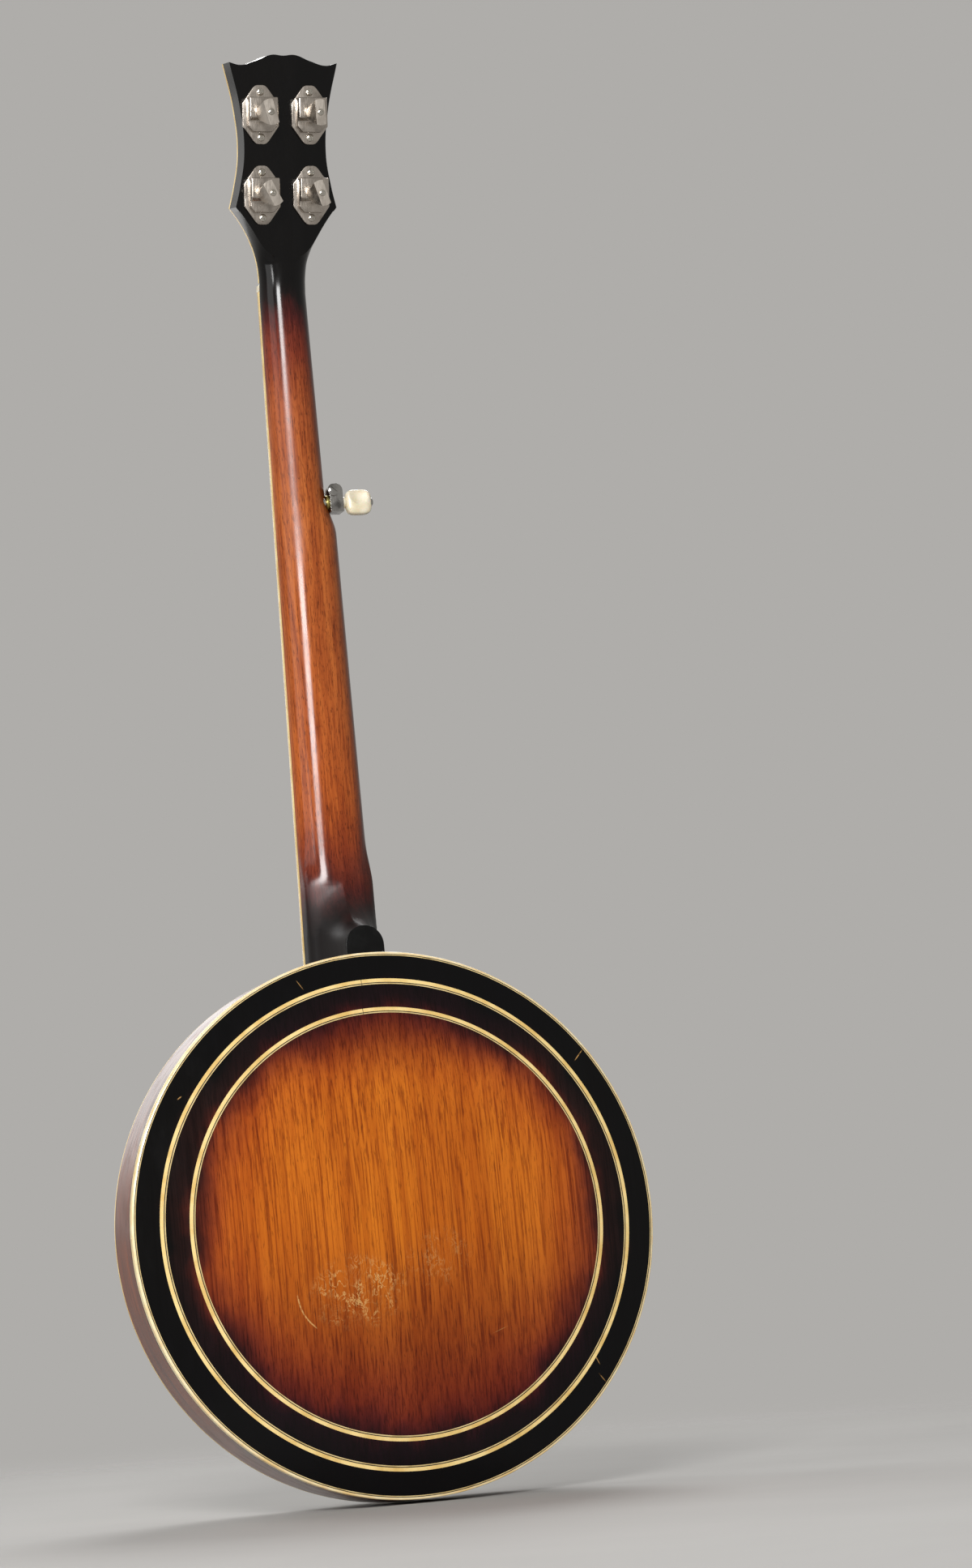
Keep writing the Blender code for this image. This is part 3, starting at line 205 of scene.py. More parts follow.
def bar(start: Place, end: Place, radius: float, sides: int = 32, radius_end: float | None = None) -> BMesh:
    """A straight bar.

    Args:
        start: The middle of its first end.
        end: The middle of its last end.
        radius: Its radius.
        sides: How many flats it has round.
        radius_end: Its radius at the last end, where it is a cone.

    Returns:
        A closed mesh.
    """
    made = bmesh.new()
    first, last = Vector(start), Vector(end)
    axis = last - first
    place = Matrix.Translation((first + last) / 2) @ axis.to_track_quat("Z", "Y").to_matrix().to_4x4()
    bmesh.ops.create_cone(
        made,
        cap_ends=True,
        segments=sides,
        radius1=radius,
        radius2=radius if radius_end is None else radius_end,
        depth=axis.length,
        matrix=place,
    )
    return made


def from_curve(curve: Curve) -> BMesh:
    """Turns a curve to a mesh, and removes the curve.

    Args:
        curve: The curve.

    Returns:
        A closed mesh.
    """
    holder = linked(curve.name, curve)
    made = evaluated(holder)
    bpy.data.objects.remove(holder)
    bpy.data.curves.remove(curve)
    return closed(made)


def plate(
    outlines: Sequence[Sequence[Knot] | Sequence[Flat]], low: float, high: float, resolution: int = 8
) -> BMesh:
    """A flat plate between two heights on the Z axis.

    Args:
        outlines: The outer edge and then the holes, as corners or as knots of a smooth line.
        low: Height of its lower face.
        high: Height of its upper face.
        resolution: Points on a smooth line from knot to knot.

    Returns:
        A closed mesh.
    """
    curve = bpy.data.curves.new("plate", "CURVE")
    curve.dimensions, curve.fill_mode = "2D", "BOTH"
    curve.extrude, curve.resolution_u = (high - low) / 2, resolution
    for outline in outlines:
        smooth = len(outline[0]) == 3
        spline = curve.splines.new("BEZIER" if smooth else "POLY")
        points = spline.bezier_points if smooth else spline.points
        points.add(len(outline) - 1)
        for point, knot in zip(points, outline):
            point.co = (knot[0], knot[1], 0) if smooth else (knot[0], knot[1], 0, 1)
            if smooth:
                point.handle_left_type = point.handle_right_type = knot[2]
        spline.use_cyclic_u = True
    made = from_curve(curve)
    bmesh.ops.translate(made, verts=made.verts, vec=(0, 0, (low + high) / 2))
    return made


def strand(route: Sequence[Place], radius: float, sides: int = 2, smooth: bool = False) -> BMesh:
    """A round wire.

    Args:
        route: The points that it runs through.
        radius: Its radius.
        sides: How round it is.
        smooth: Whether it bends smoothly, or is straight from point to point.

    Returns:
        A closed mesh.
    """
    curve = bpy.data.curves.new("strand", "CURVE")
    curve.dimensions, curve.bevel_depth, curve.bevel_resolution = "3D", radius, sides
    curve.use_fill_caps, curve.resolution_u = True, 6
    spline = curve.splines.new("BEZIER" if smooth else "POLY")
    points = spline.bezier_points if smooth else spline.points
    points.add(len(route) - 1)
    for point, place in zip(points, route):
        point.co = place if smooth else (*place, 1)
        if smooth:
            point.handle_left_type = point.handle_right_type = "AUTO"
    return from_curve(curve)


def coil(radius: float, wire: float, turns: float, pitch: float, low: float) -> BMesh:
    """A wire wound about the Z axis.

    Args:
        radius: Radius of what it is wound on.
        wire: The wire's radius.
        turns: How often it goes round.
        pitch: How far it climbs in a turn.
        low: Height of its start.

    Returns:
        A closed mesh.
    """
    made = bmesh.new()
    place = Matrix.Translation((radius + wire, 0, low)) @ Matrix.Rotation(math.pi / 2, 4, "X")
    bmesh.ops.create_circle(made, segments=8, radius=wire, matrix=place)
    steps = int(turns * 20)
    bmesh.ops.spin(
        made,
        geom=made.verts[:] + made.edges[:],
        axis=(0, 0, 1),
        angle=turns * TAU,
        steps=steps,
        dvec=(0, 0, pitch * turns / steps),
    )
    return closed(made, [e for e in made.edges if e.is_boundary])


def loft(rings: Sequence[Sequence[Place]]) -> BMesh:
    """Bridges rings in order, and closes both ends.

    Args:
        rings: The rings' points, equally many in each.

    Returns:
        A closed mesh.
    """
    made = bmesh.new()
    loops = []
    for ring in rings:
        verts = [made.verts.new(place) for place in ring]
        loops.append([made.edges.new(pair) for pair in zip(verts, verts[1:] + verts[:1])])
    for low, high in zip(loops, loops[1:]):
        bmesh.ops.bridge_loops(made, edges=low + high)
    for end in (loops[0], loops[-1]):
        bmesh.ops.edgeloop_fill(made, edges=end)
    bmesh.ops.recalc_face_normals(made, faces=made.faces)
    return made


def merged(*meshes: BMesh) -> BMesh:
    """Puts several meshes in one.

    Args:
        *meshes: The meshes, of which all but the first are freed.

    Returns:
        The first mesh.
    """
    first, *others = meshes
    for other in others:
        held = bpy.data.meshes.new("held")
        other.to_mesh(held)
        other.free()
        first.from_mesh(held)
        bpy.data.meshes.remove(held)
    return first


def placed(made: BMesh, matrix: Matrix) -> BMesh:
    """Moves a mesh to a frame."""
    bmesh.ops.transform(made, matrix=matrix, verts=made.verts)
    return made


def sliced(made: BMesh, at: Place, normal: Place, faces: Iterable[BMFace] | None = None) -> None:
    """Cuts off what lies past a plane, and closes the cut.

    Args:
        made: The mesh.
        at: A point on the plane.
        normal: The side of the plane that is cut off.
        faces: The only faces that are cut, where some are left alone.
    """
    near = list(made.faces if faces is None else faces)
    parts = dict.fromkeys([*near, *(e for f in near for e in f.edges), *(v for f in near for v in f.verts)])
    near_plane = {"plane_co": at, "plane_no": normal, "dist": 1e-5}
    cut = bmesh.ops.bisect_plane(made, geom=list(parts), clear_outer=True, **near_plane)
    closed(made, [e for e in cut["geom_cut"] if isinstance(e, BMEdge)])


class Joinery(Enum):
    """How one mesh changes another."""

    JOIN = "UNION"
    CUT = "DIFFERENCE"


def worked(made: BMesh, tool: BMesh, joinery: Joinery = Joinery.CUT) -> BMesh:
    """Cuts a tool mesh out of a mesh, or joins it to it.

    Args:
        made: The mesh that is worked.
        tool: The mesh that is cut from it or joined to it.
        joinery: Which of the two.

    Returns:
        The new mesh. Both others are freed.
    """
    holders = []
    for mesh in (made, tool):
        data = bpy.data.meshes.new("worked")
        mesh.to_mesh(data)
        mesh.free()
        holders.append(linked("worked", data))
    step = holders[0].modifiers.new("work", "BOOLEAN")
    step.operation, step.object, step.solver = joinery.value, holders[1], "EXACT"
    result = evaluated(holders[0])
    for holder in holders:
        data = holder.data
        bpy.data.objects.remove(holder)
        bpy.data.meshes.remove(data)
    return result


def eased(made: BMesh, width: float, segments: int = 2, angle: float = 30.0) -> BMesh:
    """Rounds the sharp edges of a mesh.

    Args:
        made: The mesh.
        width: Width of the rounding.
        segments: Steps in it.
        angle: The least angle of a sharp edge, in degrees.

    Returns:
        The same mesh.
    """
    limit = math.radians(angle)
    bmesh.ops.bevel(
        made,
        geom=[e for e in made.edges if len(e.link_faces) == 2 and e.calc_face_angle() > limit],
        offset=width,
        segments=segments,
        profile=0.5,
        affect="EDGES",
        material=-1,
        clamp_overlap=True,
    )
    return made


def cross_screw(radius: float, height: float, slots: int = 2) -> BMesh:
    """A domed screw head on the plane z = 0, with a cross or a single slot sunk in its top.

    Args:
        radius: Radius of the head.
        height: Height of its dome.
        slots: 2 for a cross, 1 for a single slot.

    Returns:
        A closed mesh.
    """
    arcs = [(radius * math.cos(a), height * math.sin(a)) for a in (i * math.pi / 12 for i in range(6))]
    head = lathe([(0, -0.2), (radius, -0.2), *arcs, (0, height)], 24, ring=False)
    reach, half, sunk = radius * 0.66, radius * 0.15, height * 0.15
    for number in range(slots):
        tool = block((-reach, -half, sunk), (reach, half, height * 2))
        head = worked(head, placed(tool, Matrix.Rotation(math.pi / 2 * number + 0.4, 4, "Z")))
    return head


# Shader nodes


class Blend(Enum):
    """How a second colour changes the first, as settings of the mixing node."""

    COVER = {"data_type": "RGBA", "blend_type": "MIX"}
    STAIN = {"data_type": "RGBA", "blend_type": "MULTIPLY"}


SOFT_ENDS = {"interpolation_type": "SMOOTHSTEP"}


def linear(code: str) -> Colour:
    """Turns a colour to linear light.

    Args:
        code: The sRGB colour, written as #rrggbb.

    Returns:
        Its red, green and blue, and full cover.
    """
    shares = [int(code[i : i + 2], 16) / 255 for i in (1, 3, 5)]
    red, green, blue = (c / 12.92 if c <= 0.04045 else ((c + 0.055) / 1.055) ** 2.4 for c in shares)
    return red, green, blue, 1.0


def feed(tree: NodeTree, node: Node, inputs: Sequence[Any] | Inputs) -> None:
    """Gives a node's inputs their links and values.

    Args:
        tree: The node tree.
        node: The node.
        inputs: Sockets and values, in the inputs' order or under their names or numbers.
    """
    for key, value in inputs.items() if isinstance(inputs, dict) else enumerate(inputs):
        if isinstance(value, NodeSocket):
            tree.links.new(value, node.inputs[key])
        else:
            node.inputs[key].default_value = value


def add_node(
    tree: NodeTree, kind: str, inputs: Sequence[Any] | Inputs = (), output: int | str = 0, **settings: Any
) -> NodeSocket:
    """Adds a shader node.

    Args:
        tree: The node tree.
        kind: The node's type, without the word that all types start with.
        inputs: Sockets and values, in the inputs' order or under their names or numbers.
        output: The name or number of the output that is wanted.
        **settings: The node's own properties. "stops" fills a colour ramp with places and sRGB colours.

    Returns:
        The wanted output.
    """
    node = tree.nodes.new(f"ShaderNode{kind}")
    for name, value in settings.items():
        if name != "stops":
            setattr(node, name, value)
            continue
        elements = node.color_ramp.elements
        elements.remove(elements[1])
        elements[0].position, elements[0].color = value[0][0], linear(value[0][1])
        for place, code in value[1:]:
            elements.new(place).color = linear(code)
    feed(tree, node, inputs)
    return node.outputs[output]


def noise_at(
    tree: NodeTree, period: Place, detail: float = 3.0, turn: Place = (0, 0, 0), distortion: float = 0.0
) -> NodeSocket:
    """Noise on the object's own coordinates.

    Args:
        tree: The node tree.
        period: The pattern's size along each axis, in millimetres.
        detail: How many finer layers it has.
        turn: Rotation of the pattern, in radians.
        distortion: How much it wanders.

    Returns:
        Its value, about 0.5 on average.
    """
    place = add_node(tree, "TexCoord", output="Object")
    scale = tuple(1 / (p * MM) for p in period)
    grid = add_node(tree, "Mapping", {"Vector": place, "Rotation": turn, "Scale": scale})
    inputs = {"Vector": grid, "Scale": 1.0, "Detail": detail, "Roughness": 0.55, "Distortion": distortion}
    return add_node(tree, "TexNoise", inputs, "Fac")


def clouds(tree: NodeTree, period: Place, source: Flat, target: Flat, **noise: float) -> NodeSocket:
    """Noise with its contrast drawn out.

    Args:
        tree: The node tree.
        period: The pattern's size along each axis, in millimetres.
        source: The two values of the noise between which the result changes.
        target: The result there and past them.
        **noise: The noise's detail and distortion.

    Returns:
        The result.
    """
    value = noise_at(tree, period, **noise)
    return add_node(tree, "MapRange", (value, *source, *target), **SOFT_ENDS)


def layered(
    tree: NodeTree, colour: NodeSocket | Colour, layer: Layer, blend: Blend = Blend.COVER, **noise: float
) -> NodeSocket:
    """Lays a second colour over a first one in clouds or streaks.

    Args:
        tree: The node tree.
        colour: The first colour.
        layer: The clouds' period, source and target, and the second colour.
        blend: How it changes the first.
        **noise: The clouds' detail and distortion.

    Returns:
        The new colour.
    """
    share = clouds(tree, *layer[:3], **noise)
    return add_node(tree, "Mix", {0: share, 6: colour, 7: linear(layer[3])}, 2, **blend.value)


# Finishes


@dataclass(frozen=True)
class Finish:
    """A surface made of shader nodes, built once under its own name, with the name of a material slot of the
    record.
    """

    name: str
    slot: str

    def material(self) -> Material:
        """Makes the material on its first use.

        Returns:
            The material.
        """
        known = bpy.data.materials.get(self.name)
        if known:
            return known
        made = bpy.data.materials.new(self.name)
        made.use_nodes = True
        tree = made.node_tree
        feed(tree, tree.nodes["Principled BSDF"], self.wire(tree))
        return made

    def wire(self, tree: NodeTree) -> Inputs:
        """Adds the nodes of this finish.

        Args:
            tree: The node tree.

        Returns:
            What the shader's inputs get.
        """
        raise NotImplementedError


@dataclass(frozen=True)
class Scuff:
    """A worn spot on the lacquer: its middle, its half sizes, the turn of its long side and its depth."""

    x: float
    z: float
    half_long: float
    half_wide: float
    turn: float
    depth: float
    scribbled: bool = False


@dataclass(frozen=True)
class SunburstLacquer(Finish):
    """Mahogany under a hand-sprayed burst from amber to black, then a buffed gloss lacquer.

    The eye gets a glowing middle that fades to near black under the two inlaid rings, fine dark grain that runs
    with the neck, and pale scribbles and nicks where the lacquer was rubbed.
    """

    name: str = "mahogany_sunburst_lacquer"
    slot: str = "mahogany"
    specular: float = 0.2
    # The burst's colours by their share of the radius.
    burst: Stops = (
        (0.0, "#ca7019"),
        (0.50, "#c86d1a"),
        (0.62, "#c0631b"),
        (0.68, "#ac531b"),
        (0.725, "#8c3e1b"),
        (0.76, "#662a18"),
        (0.79, "#3b1812"),
        (0.82, "#22100e"),
        (0.87, "#160a09"),
        (0.895, "#050404"),
        (1.0, "#030303"),
    )
    # Painted shade darker to the bottom, and a darker band at the top: start and end heights, and tone.
    low_painted_shade_and_top_band: tuple[tuple[float, float, str], ...] = ((0.185, 0.06, "#aa8ad8"), (0.26, 0.306, "#b49fd8"))
    # Bands, two widths of streaks, and pores. Real pores are about 0.2 mm wide, drawn 0.6 mm wide to show.
    grain: tuple[Layer, ...] = (
        ((17, 17, 320), (0.35, 0.68), (0.0, 0.36), "#b56a3a"),
        ((3.4, 3.4, 190), (0.42, 0.66), (0.0, 0.32), "#a8623c"),
        ((1.15, 1.15, 100), (0.46, 0.66), (0.0, 0.6), "#8a4426"),
        ((0.6, 0.6, 8), (0.56, 0.66), (0.0, 0.45), "#5e2c1a"),
    )
    bare: str = "#c99a5c"
    scuffs: tuple[Scuff, ...] = (
        Scuff(-33, 133, 37, 27, 0.1, 0.8, True),
        Scuff(20, 150, 30, 22, 0.5, 0.25, True),
        Scuff(134, 275, 5.6, 0.45, 0.82, 0.8),
        Scuff(-51, 331, 4.5, 0.35, -1.0, 0.5),
        Scuff(-137, 263.5, 2.2, 0.5, 0.6, 0.6),
        Scuff(126, 78, 4.2, 0.4, -1.1, 0.6),
        Scuff(129, 66, 5.0, 0.4, -0.9, 0.45),
        Scuff(60, 102, 7.0, 0.3, 0.35, 0.3),
    )
    # Middle and radius of the circle that the nail mark is a part of.
    nail_mark: Place = (-46.0, 134.0, 27.2)

    def wire(self, tree: NodeTree) -> Inputs:
        """Adds burst, grain, wear and gloss.

        Args:
            tree: The node tree.

        Returns:
            What the shader's inputs get.
        """
        place = add_node(tree, "TexCoord", output="Object")
        middle = {"Vector": place, "Location": (0, 0, -POT_RADIUS * MM), "Scale": (1, 0, 1)}
        radius = add_node(tree, "VectorMath", (add_node(tree, "Mapping", middle),), "Value", operation="LENGTH")
        share = add_node(tree, "Math", (radius, POT_RADIUS * MM), operation="DIVIDE")
        uneven = clouds(tree, (30, 30, 46), (0.3, 0.7), (-0.03, 0.03))
        share = add_node(tree, "Math", (share, uneven), operation="ADD")
        colour = add_node(tree, "ValToRGB", (share,), stops=self.burst)
        height = add_node(tree, "SeparateXYZ", (place,), "Z")
        # The first band is painted shade towards the bottom; the second darkens the top.
        for start, end, tone in self.low_painted_shade_and_top_band:
            share = add_node(tree, "MapRange", (height, start, end, 0.0, 1.0), **SOFT_ENDS)
            colour = add_node(tree, "Mix", {0: share, 6: colour, 7: linear(tone)}, 2, **Blend.STAIN.value)
        for layer in self.grain:
            colour = layered(tree, colour, layer, Blend.STAIN, distortion=0.25)
        wear = self.wear(tree, place)
        colour = add_node(tree, "Mix", {0: wear, 6: colour, 7: linear(self.bare)}, 2, **Blend.COVER.value)
        haze = clouds(tree, (14, 14, 30), (0.35, 0.75), (0.10, 0.2), detail=5.0)
        relief = {"Distance": 0.02 * MM, "Height": noise_at(tree, (1.6, 1.6, 14), 4.0)}
        return {
            "Base Color": colour,
            "Roughness": add_node(tree, "Math", (wear, 0.35, haze), operation="MULTIPLY_ADD"),
            "Specular IOR Level": self.specular,
            "Normal": add_node(tree, "Bump", relief),
        }

    def wear(self, tree: NodeTree, place: NodeSocket) -> NodeSocket:
        """Adds scribbled patches, straight nicks and one curved nail mark.

        Args:
            tree: The node tree.
            place: The object's coordinates.

        Returns:
            The share of rubbed lacquer.
        """
        loops = noise_at(tree, (5, 5, 7), 4.0, distortion=1.2)
        line = add_node(tree, "Math", (loops, 0.5), operation="SUBTRACT")
        line = add_node(tree, "Math", (line,), operation="ABSOLUTE")
        scribble = add_node(tree, "MapRange", (line, 0.055, 0.015, 0.0, 1.0), **SOFT_ENDS)
        speckle = clouds(tree, (1.1, 1.1, 2.0), (0.36, 0.52), (0.0, 1.0))
        clump = clouds(tree, (12, 12, 15), (0.44, 0.56), (0.15, 1.0), detail=2.0)
        for other in (speckle, clump):
            scribble = add_node(tree, "Math", (scribble, other), operation="MULTIPLY")
        broken = clouds(tree, (1.5, 1.5, 1.5), (0.35, 0.5), (0.2, 1.0), detail=2.0)
        total = self.nail(tree, place, broken)
        for scuff in self.scuffs:
            spot = add_node(
                tree,
                "Mapping",
                {
                    "Vector": place,
                    "Location": (scuff.x * MM, 0, scuff.z * MM),
                    "Rotation": (0, -scuff.turn, 0),
                    "Scale": (scuff.half_long * MM, 1e3, scuff.half_wide * MM),
                },
                vector_type="TEXTURE",
            )
            away = add_node(tree, "VectorMath", (spot,), "Value", operation="LENGTH")
            inside = add_node(tree, "MapRange", (away, 1.0, 0.45, 0.0, scuff.depth), **SOFT_ENDS)
            marks = scribble if scuff.scribbled else broken
            both = add_node(tree, "Math", (inside, marks), operation="MULTIPLY")
            total = add_node(tree, "Math", (total, both), operation="MAXIMUM")
        return total

    def nail(self, tree: NodeTree, place: NodeSocket, broken: NodeSocket) -> NodeSocket:
        """Adds a curved mark: part of a circle, below and left of its middle.

        Args:
            tree: The node tree.
            place: The object's coordinates.
            broken: The share that breaks up a mark's line.

        Returns:
            The share of lacquer that the mark took.
        """
        x, z, size = self.nail_mark
        middle = {"Vector": place, "Location": (-x * MM, 0, -z * MM), "Scale": (1, 0, 1)}
        spot = add_node(tree, "Mapping", middle)
        away = add_node(tree, "VectorMath", (spot, (0, 0, 0)), "Value", operation="DISTANCE")
        off = add_node(tree, "Math", (away, size * MM), operation="SUBTRACT")
        off = add_node(tree, "Math", (off,), operation="ABSOLUTE")
        ring = add_node(tree, "MapRange", (off, 0.6 * MM, 0.25 * MM, 0.0, 0.8), **SOFT_ENDS)
        towards = add_node(tree, "VectorMath", (spot, (-0.89, 0, -0.45)), "Value", operation="DOT_PRODUCT")
        arc = add_node(tree, "MapRange", (towards, size * 0.89 * MM, size * 0.92 * MM, 0.0, 1.0), **SOFT_ENDS)
        part = add_node(tree, "Math", (ring, arc), operation="MULTIPLY")
        return add_node(tree, "Math", (part, broken), operation="MULTIPLY")


@dataclass(frozen=True)
class NeckLacquer(Finish):
    """Mahogany neck, sprayed black at the headstock and heel and clear red-brown between, under gloss lacquer.

    The eye gets short dark pores along the neck, soft fades at both ends, and a gloss that hands have dulled
    below the nut.
    """

    name: str = "mahogany_neck_lacquer"
    slot: str = "mahogany"
    specular: float = 0.28
    # The spray's colours by height in metres, as shader coordinates are.
    fade: Stops = (
        (0.372, "#0d0707"),
        (0.387, "#2a1210"),
        (0.400, "#521f19"),
        (0.414, "#74301c"),
        (0.432, "#8e3e1c"),
        (0.455, "#b05822"),
        (0.56, "#b4602a"),
        (0.66, "#b5632d"),
        (0.725, "#a5552b"),
        (0.758, "#853a24"),
        (0.781, "#531e1b"),
        (0.797, "#140a0a"),
        (0.806, "#050404"),
    )
    # Bands, streaks and pores. Real pores are about 0.2 mm wide, drawn 0.6 mm wide to show.
    grain: tuple[Layer, ...] = (
        ((5, 9, 130), (0.38, 0.66), (0.0, 0.4), "#ad6a48"),
        ((1.3, 1.3, 36), (0.45, 0.66), (0.0, 0.5), "#8f4b2e"),
        ((0.6, 0.6, 5), (0.54, 0.65), (0.0, 0.6), "#5e2c1c"),
    )
    # Tone of the painted shade along the bass edge.
    bass_painted_shade_tone: str = "#9c9494"
    # The middle of the stretch that hands have dulled, in metres.
    played_at: float = 0.685

    def wire(self, tree: NodeTree) -> Inputs:
        """Adds the fades along the neck, its grain and its gloss.

        Args:
            tree: The node tree.

        Returns:
            What the shader's inputs get.
        """
        place = add_node(tree, "TexCoord", output="Object")
        height = add_node(tree, "SeparateXYZ", (place,), "Z")
        uneven = clouds(tree, (14, 14, 40), (0.3, 0.7), (-0.006, 0.006))
        along = add_node(tree, "Math", (height, uneven), operation="ADD")
        colour = add_node(tree, "ValToRGB", (along,), stops=self.fade)
        for layer in self.grain:
            colour = layered(tree, colour, layer, Blend.STAIN, distortion=0.3)
        # Painted shade along the bass edge, laid over the neck's colour.
        stain = {0: self.bass_side_painted_shade(tree, place), 6: colour, 7: linear(self.bass_painted_shade_tone)}
        rough = clouds(tree, (9, 9, 26), (0.4, 0.7), (0.13, 0.2), detail=4.0)
        played = add_node(tree, "Math", (along, self.played_at), operation="SUBTRACT")
        played = add_node(tree, "Math", (played,), operation="ABSOLUTE")
        for spot in ((played, 0.105, 0.03, 0.0, 0.16), (height, 0.41, 0.396, 0.0, 0.28)):
            dulled = add_node(tree, "MapRange", spot, **SOFT_ENDS)
            rough = add_node(tree, "Math", (rough, dulled), operation="ADD")
        relief = {"Distance": 0.008 * MM, "Height": noise_at(tree, (7, 7, 5), 2.0)}
        return {
            "Base Color": add_node(tree, "Mix", stain, 2, **Blend.STAIN.value),
            "Roughness": rough,
            "Specular IOR Level": self.specular,
            "Normal": add_node(tree, "Bump", relief),
        }

    def bass_side_painted_shade(self, tree: NodeTree, place: NodeSocket) -> NodeSocket:
        """Adds painted shade along the bass edge, which steps in above the fifth string's peg.

        Args:
            tree: The node tree.
            place: The object's coordinates.

        Returns:
            The painted shade's share.
        """
        across, height = (add_node(tree, "SeparateXYZ", (place,), axis) for axis in "XZ")
        step = add_node(tree, "MapRange", (height, 0.637, 0.663, 0.0, 0.006), **SOFT_ENDS)
        taper = add_node(tree, "Math", (height, 0.0121, step), operation="MULTIPLY_ADD")
        beside = add_node(tree, "Math", (across, taper), operation="ADD")
        return add_node(tree, "MapRange", (beside, 0.0165, 0.0283, 0.0, 1.0), **SOFT_ENDS)


@dataclass(frozen=True)
class SideLacquer(Finish):
    """Bent mahogany, stained dark red-brown under gloss lacquer.

    The eye gets dark streaks that run round the side, and long soft reflections.
    """

    name: str = "mahogany_side_lacquer"
    slot: str = "mahogany"
    base: str = "#81401f"
    streaks: Layer = ((60, 1.6, 60), (0.4, 0.65), (0.0, 1.0), "#4b2113")
    blotches: Layer = ((40, 40, 40), (0.35, 0.7), (0.0, 0.4), "#8a5a4a")
    specular: float = 0.4

    def wire(self, tree: NodeTree) -> Inputs:
        """Adds the stain, the streaks across the side's depth and the gloss.

        Args:
            tree: The node tree.

        Returns:
            What the shader's inputs get.
        """
        colour = layered(tree, linear(self.base), self.streaks, detail=4.0, distortion=0.4)
        relief = {"Distance": 0.02 * MM, "Height": noise_at(tree, (30, 2, 30), 3.0)}
        return {
            "Base Color": layered(tree, colour, self.blotches, Blend.STAIN),
            "Roughness": clouds(tree, (20, 6, 20), (0.4, 0.7), (0.14, 0.26), detail=4.0),
            "Specular IOR Level": self.specular,
            "Normal": add_node(tree, "Bump", relief),
        }


@dataclass(frozen=True)
class PlainWood(Finish):
    """Wood under a thin satin coat, with streaks along one axis and fine pores.

    The eye gets two tones of one wood that run with the piece, and a soft broken sheen.
    """

    base: str
    dark: str
    streak: Place
    roughness: Flat = (0.32, 0.5)
    relief: float = 0.03

    def wire(self, tree: NodeTree) -> Inputs:
        """Adds streaks, pores and sheen.

        Args:
            tree: The node tree.

        Returns:
            What the shader's inputs get.
        """
        streaks = (self.streak, (0.38, 0.66), (0.0, 1.0), self.dark)
        colour = layered(tree, linear(self.base), streaks, detail=4.0, distortion=0.5)
        fine = tuple(max(p / 5, 0.5) for p in self.streak)
        relief = {"Distance": self.relief * MM, "Height": noise_at(tree, fine, 3.0)}
        return {
            "Base Color": layered(tree, colour, (fine, (0.56, 0.66), (0.0, 0.5), self.dark), detail=2.0),
            "Roughness": clouds(tree, (12, 12, 12), (0.35, 0.7), self.roughness, detail=4.0),
            "Normal": add_node(tree, "Bump", relief),
        }


@dataclass(frozen=True)
class Plastic(Finish):
    """Celluloid, bone, fibre, lacquer or moulded plastic, scraped or buffed, with clouds and rubbed spots.

    The eye gets an even colour that ages in patches, and a gloss that breaks where hands rub it.
    """

    base: str
    aged: str
    cloud: float = 12.0
    roughness: Flat = (0.2, 0.36)
    glow: float = 0.0
    relief: float = 0.01
    specular: float = 0.5

    def wire(self, tree: NodeTree) -> Inputs:
        """Adds the clouds, the gloss and, on pale plastics, a little light under the skin.

        Args:
            tree: The node tree.

        Returns:
            What the shader's inputs get.
        """
        patches = ((self.cloud,) * 3, (0.35, 0.7), (0.0, 1.0), self.aged)
        relief = {"Distance": self.relief * MM, "Height": noise_at(tree, (1.5, 1.5, 1.5), 3.0)}
        return {
            "Base Color": layered(tree, linear(self.base), patches, detail=4.0),
            "Roughness": clouds(tree, (self.cloud / 3,) * 3, (0.35, 0.7), self.roughness, detail=5.0),
            "Specular IOR Level": self.specular,
            "Subsurface Weight": self.glow,
            "Subsurface Scale": 0.6 * MM,
            "Normal": add_node(tree, "Bump", relief),
        }


@dataclass(frozen=True)
class Metal(Finish):
    """Plated or bare metal, polished or satin, with dull tarnish clouds and hairline scratches.

    The eye gets a clear metal tint, darker where it has dulled, and highlights that fine scratches draw out.
    """

    base: str
    dull: str
    roughness: Flat = (0.16, 0.34)
    scratch: Place = (0.5, 6, 6)
    tarnish: float = 0.55
    relief: float = 0.012

    def wire(self, tree: NodeTree) -> Inputs:
        """Adds tint, tarnish and scratches.

        Args:
            tree: The node tree.

        Returns:
            What the shader's inputs get.
        """
        tarnish = ((9, 9, 9), (0.42, 0.68), (0.0, self.tarnish), self.dull)
        # Real hairlines are a few hundredths of a millimetre wide, drawn coarser so that they show.
        lines = noise_at(tree, self.scratch, 4.0, (0.4, 0.3, 0.2))
        return {
            "Base Color": layered(tree, linear(self.base), tarnish, detail=6.0),
            "Metallic": 1.0,
            "Roughness": add_node(tree, "MapRange", (lines, 0.35, 0.7, *self.roughness), **SOFT_ENDS),
            "Normal": add_node(tree, "Bump", {"Distance": self.relief * MM, "Height": lines}),
        }


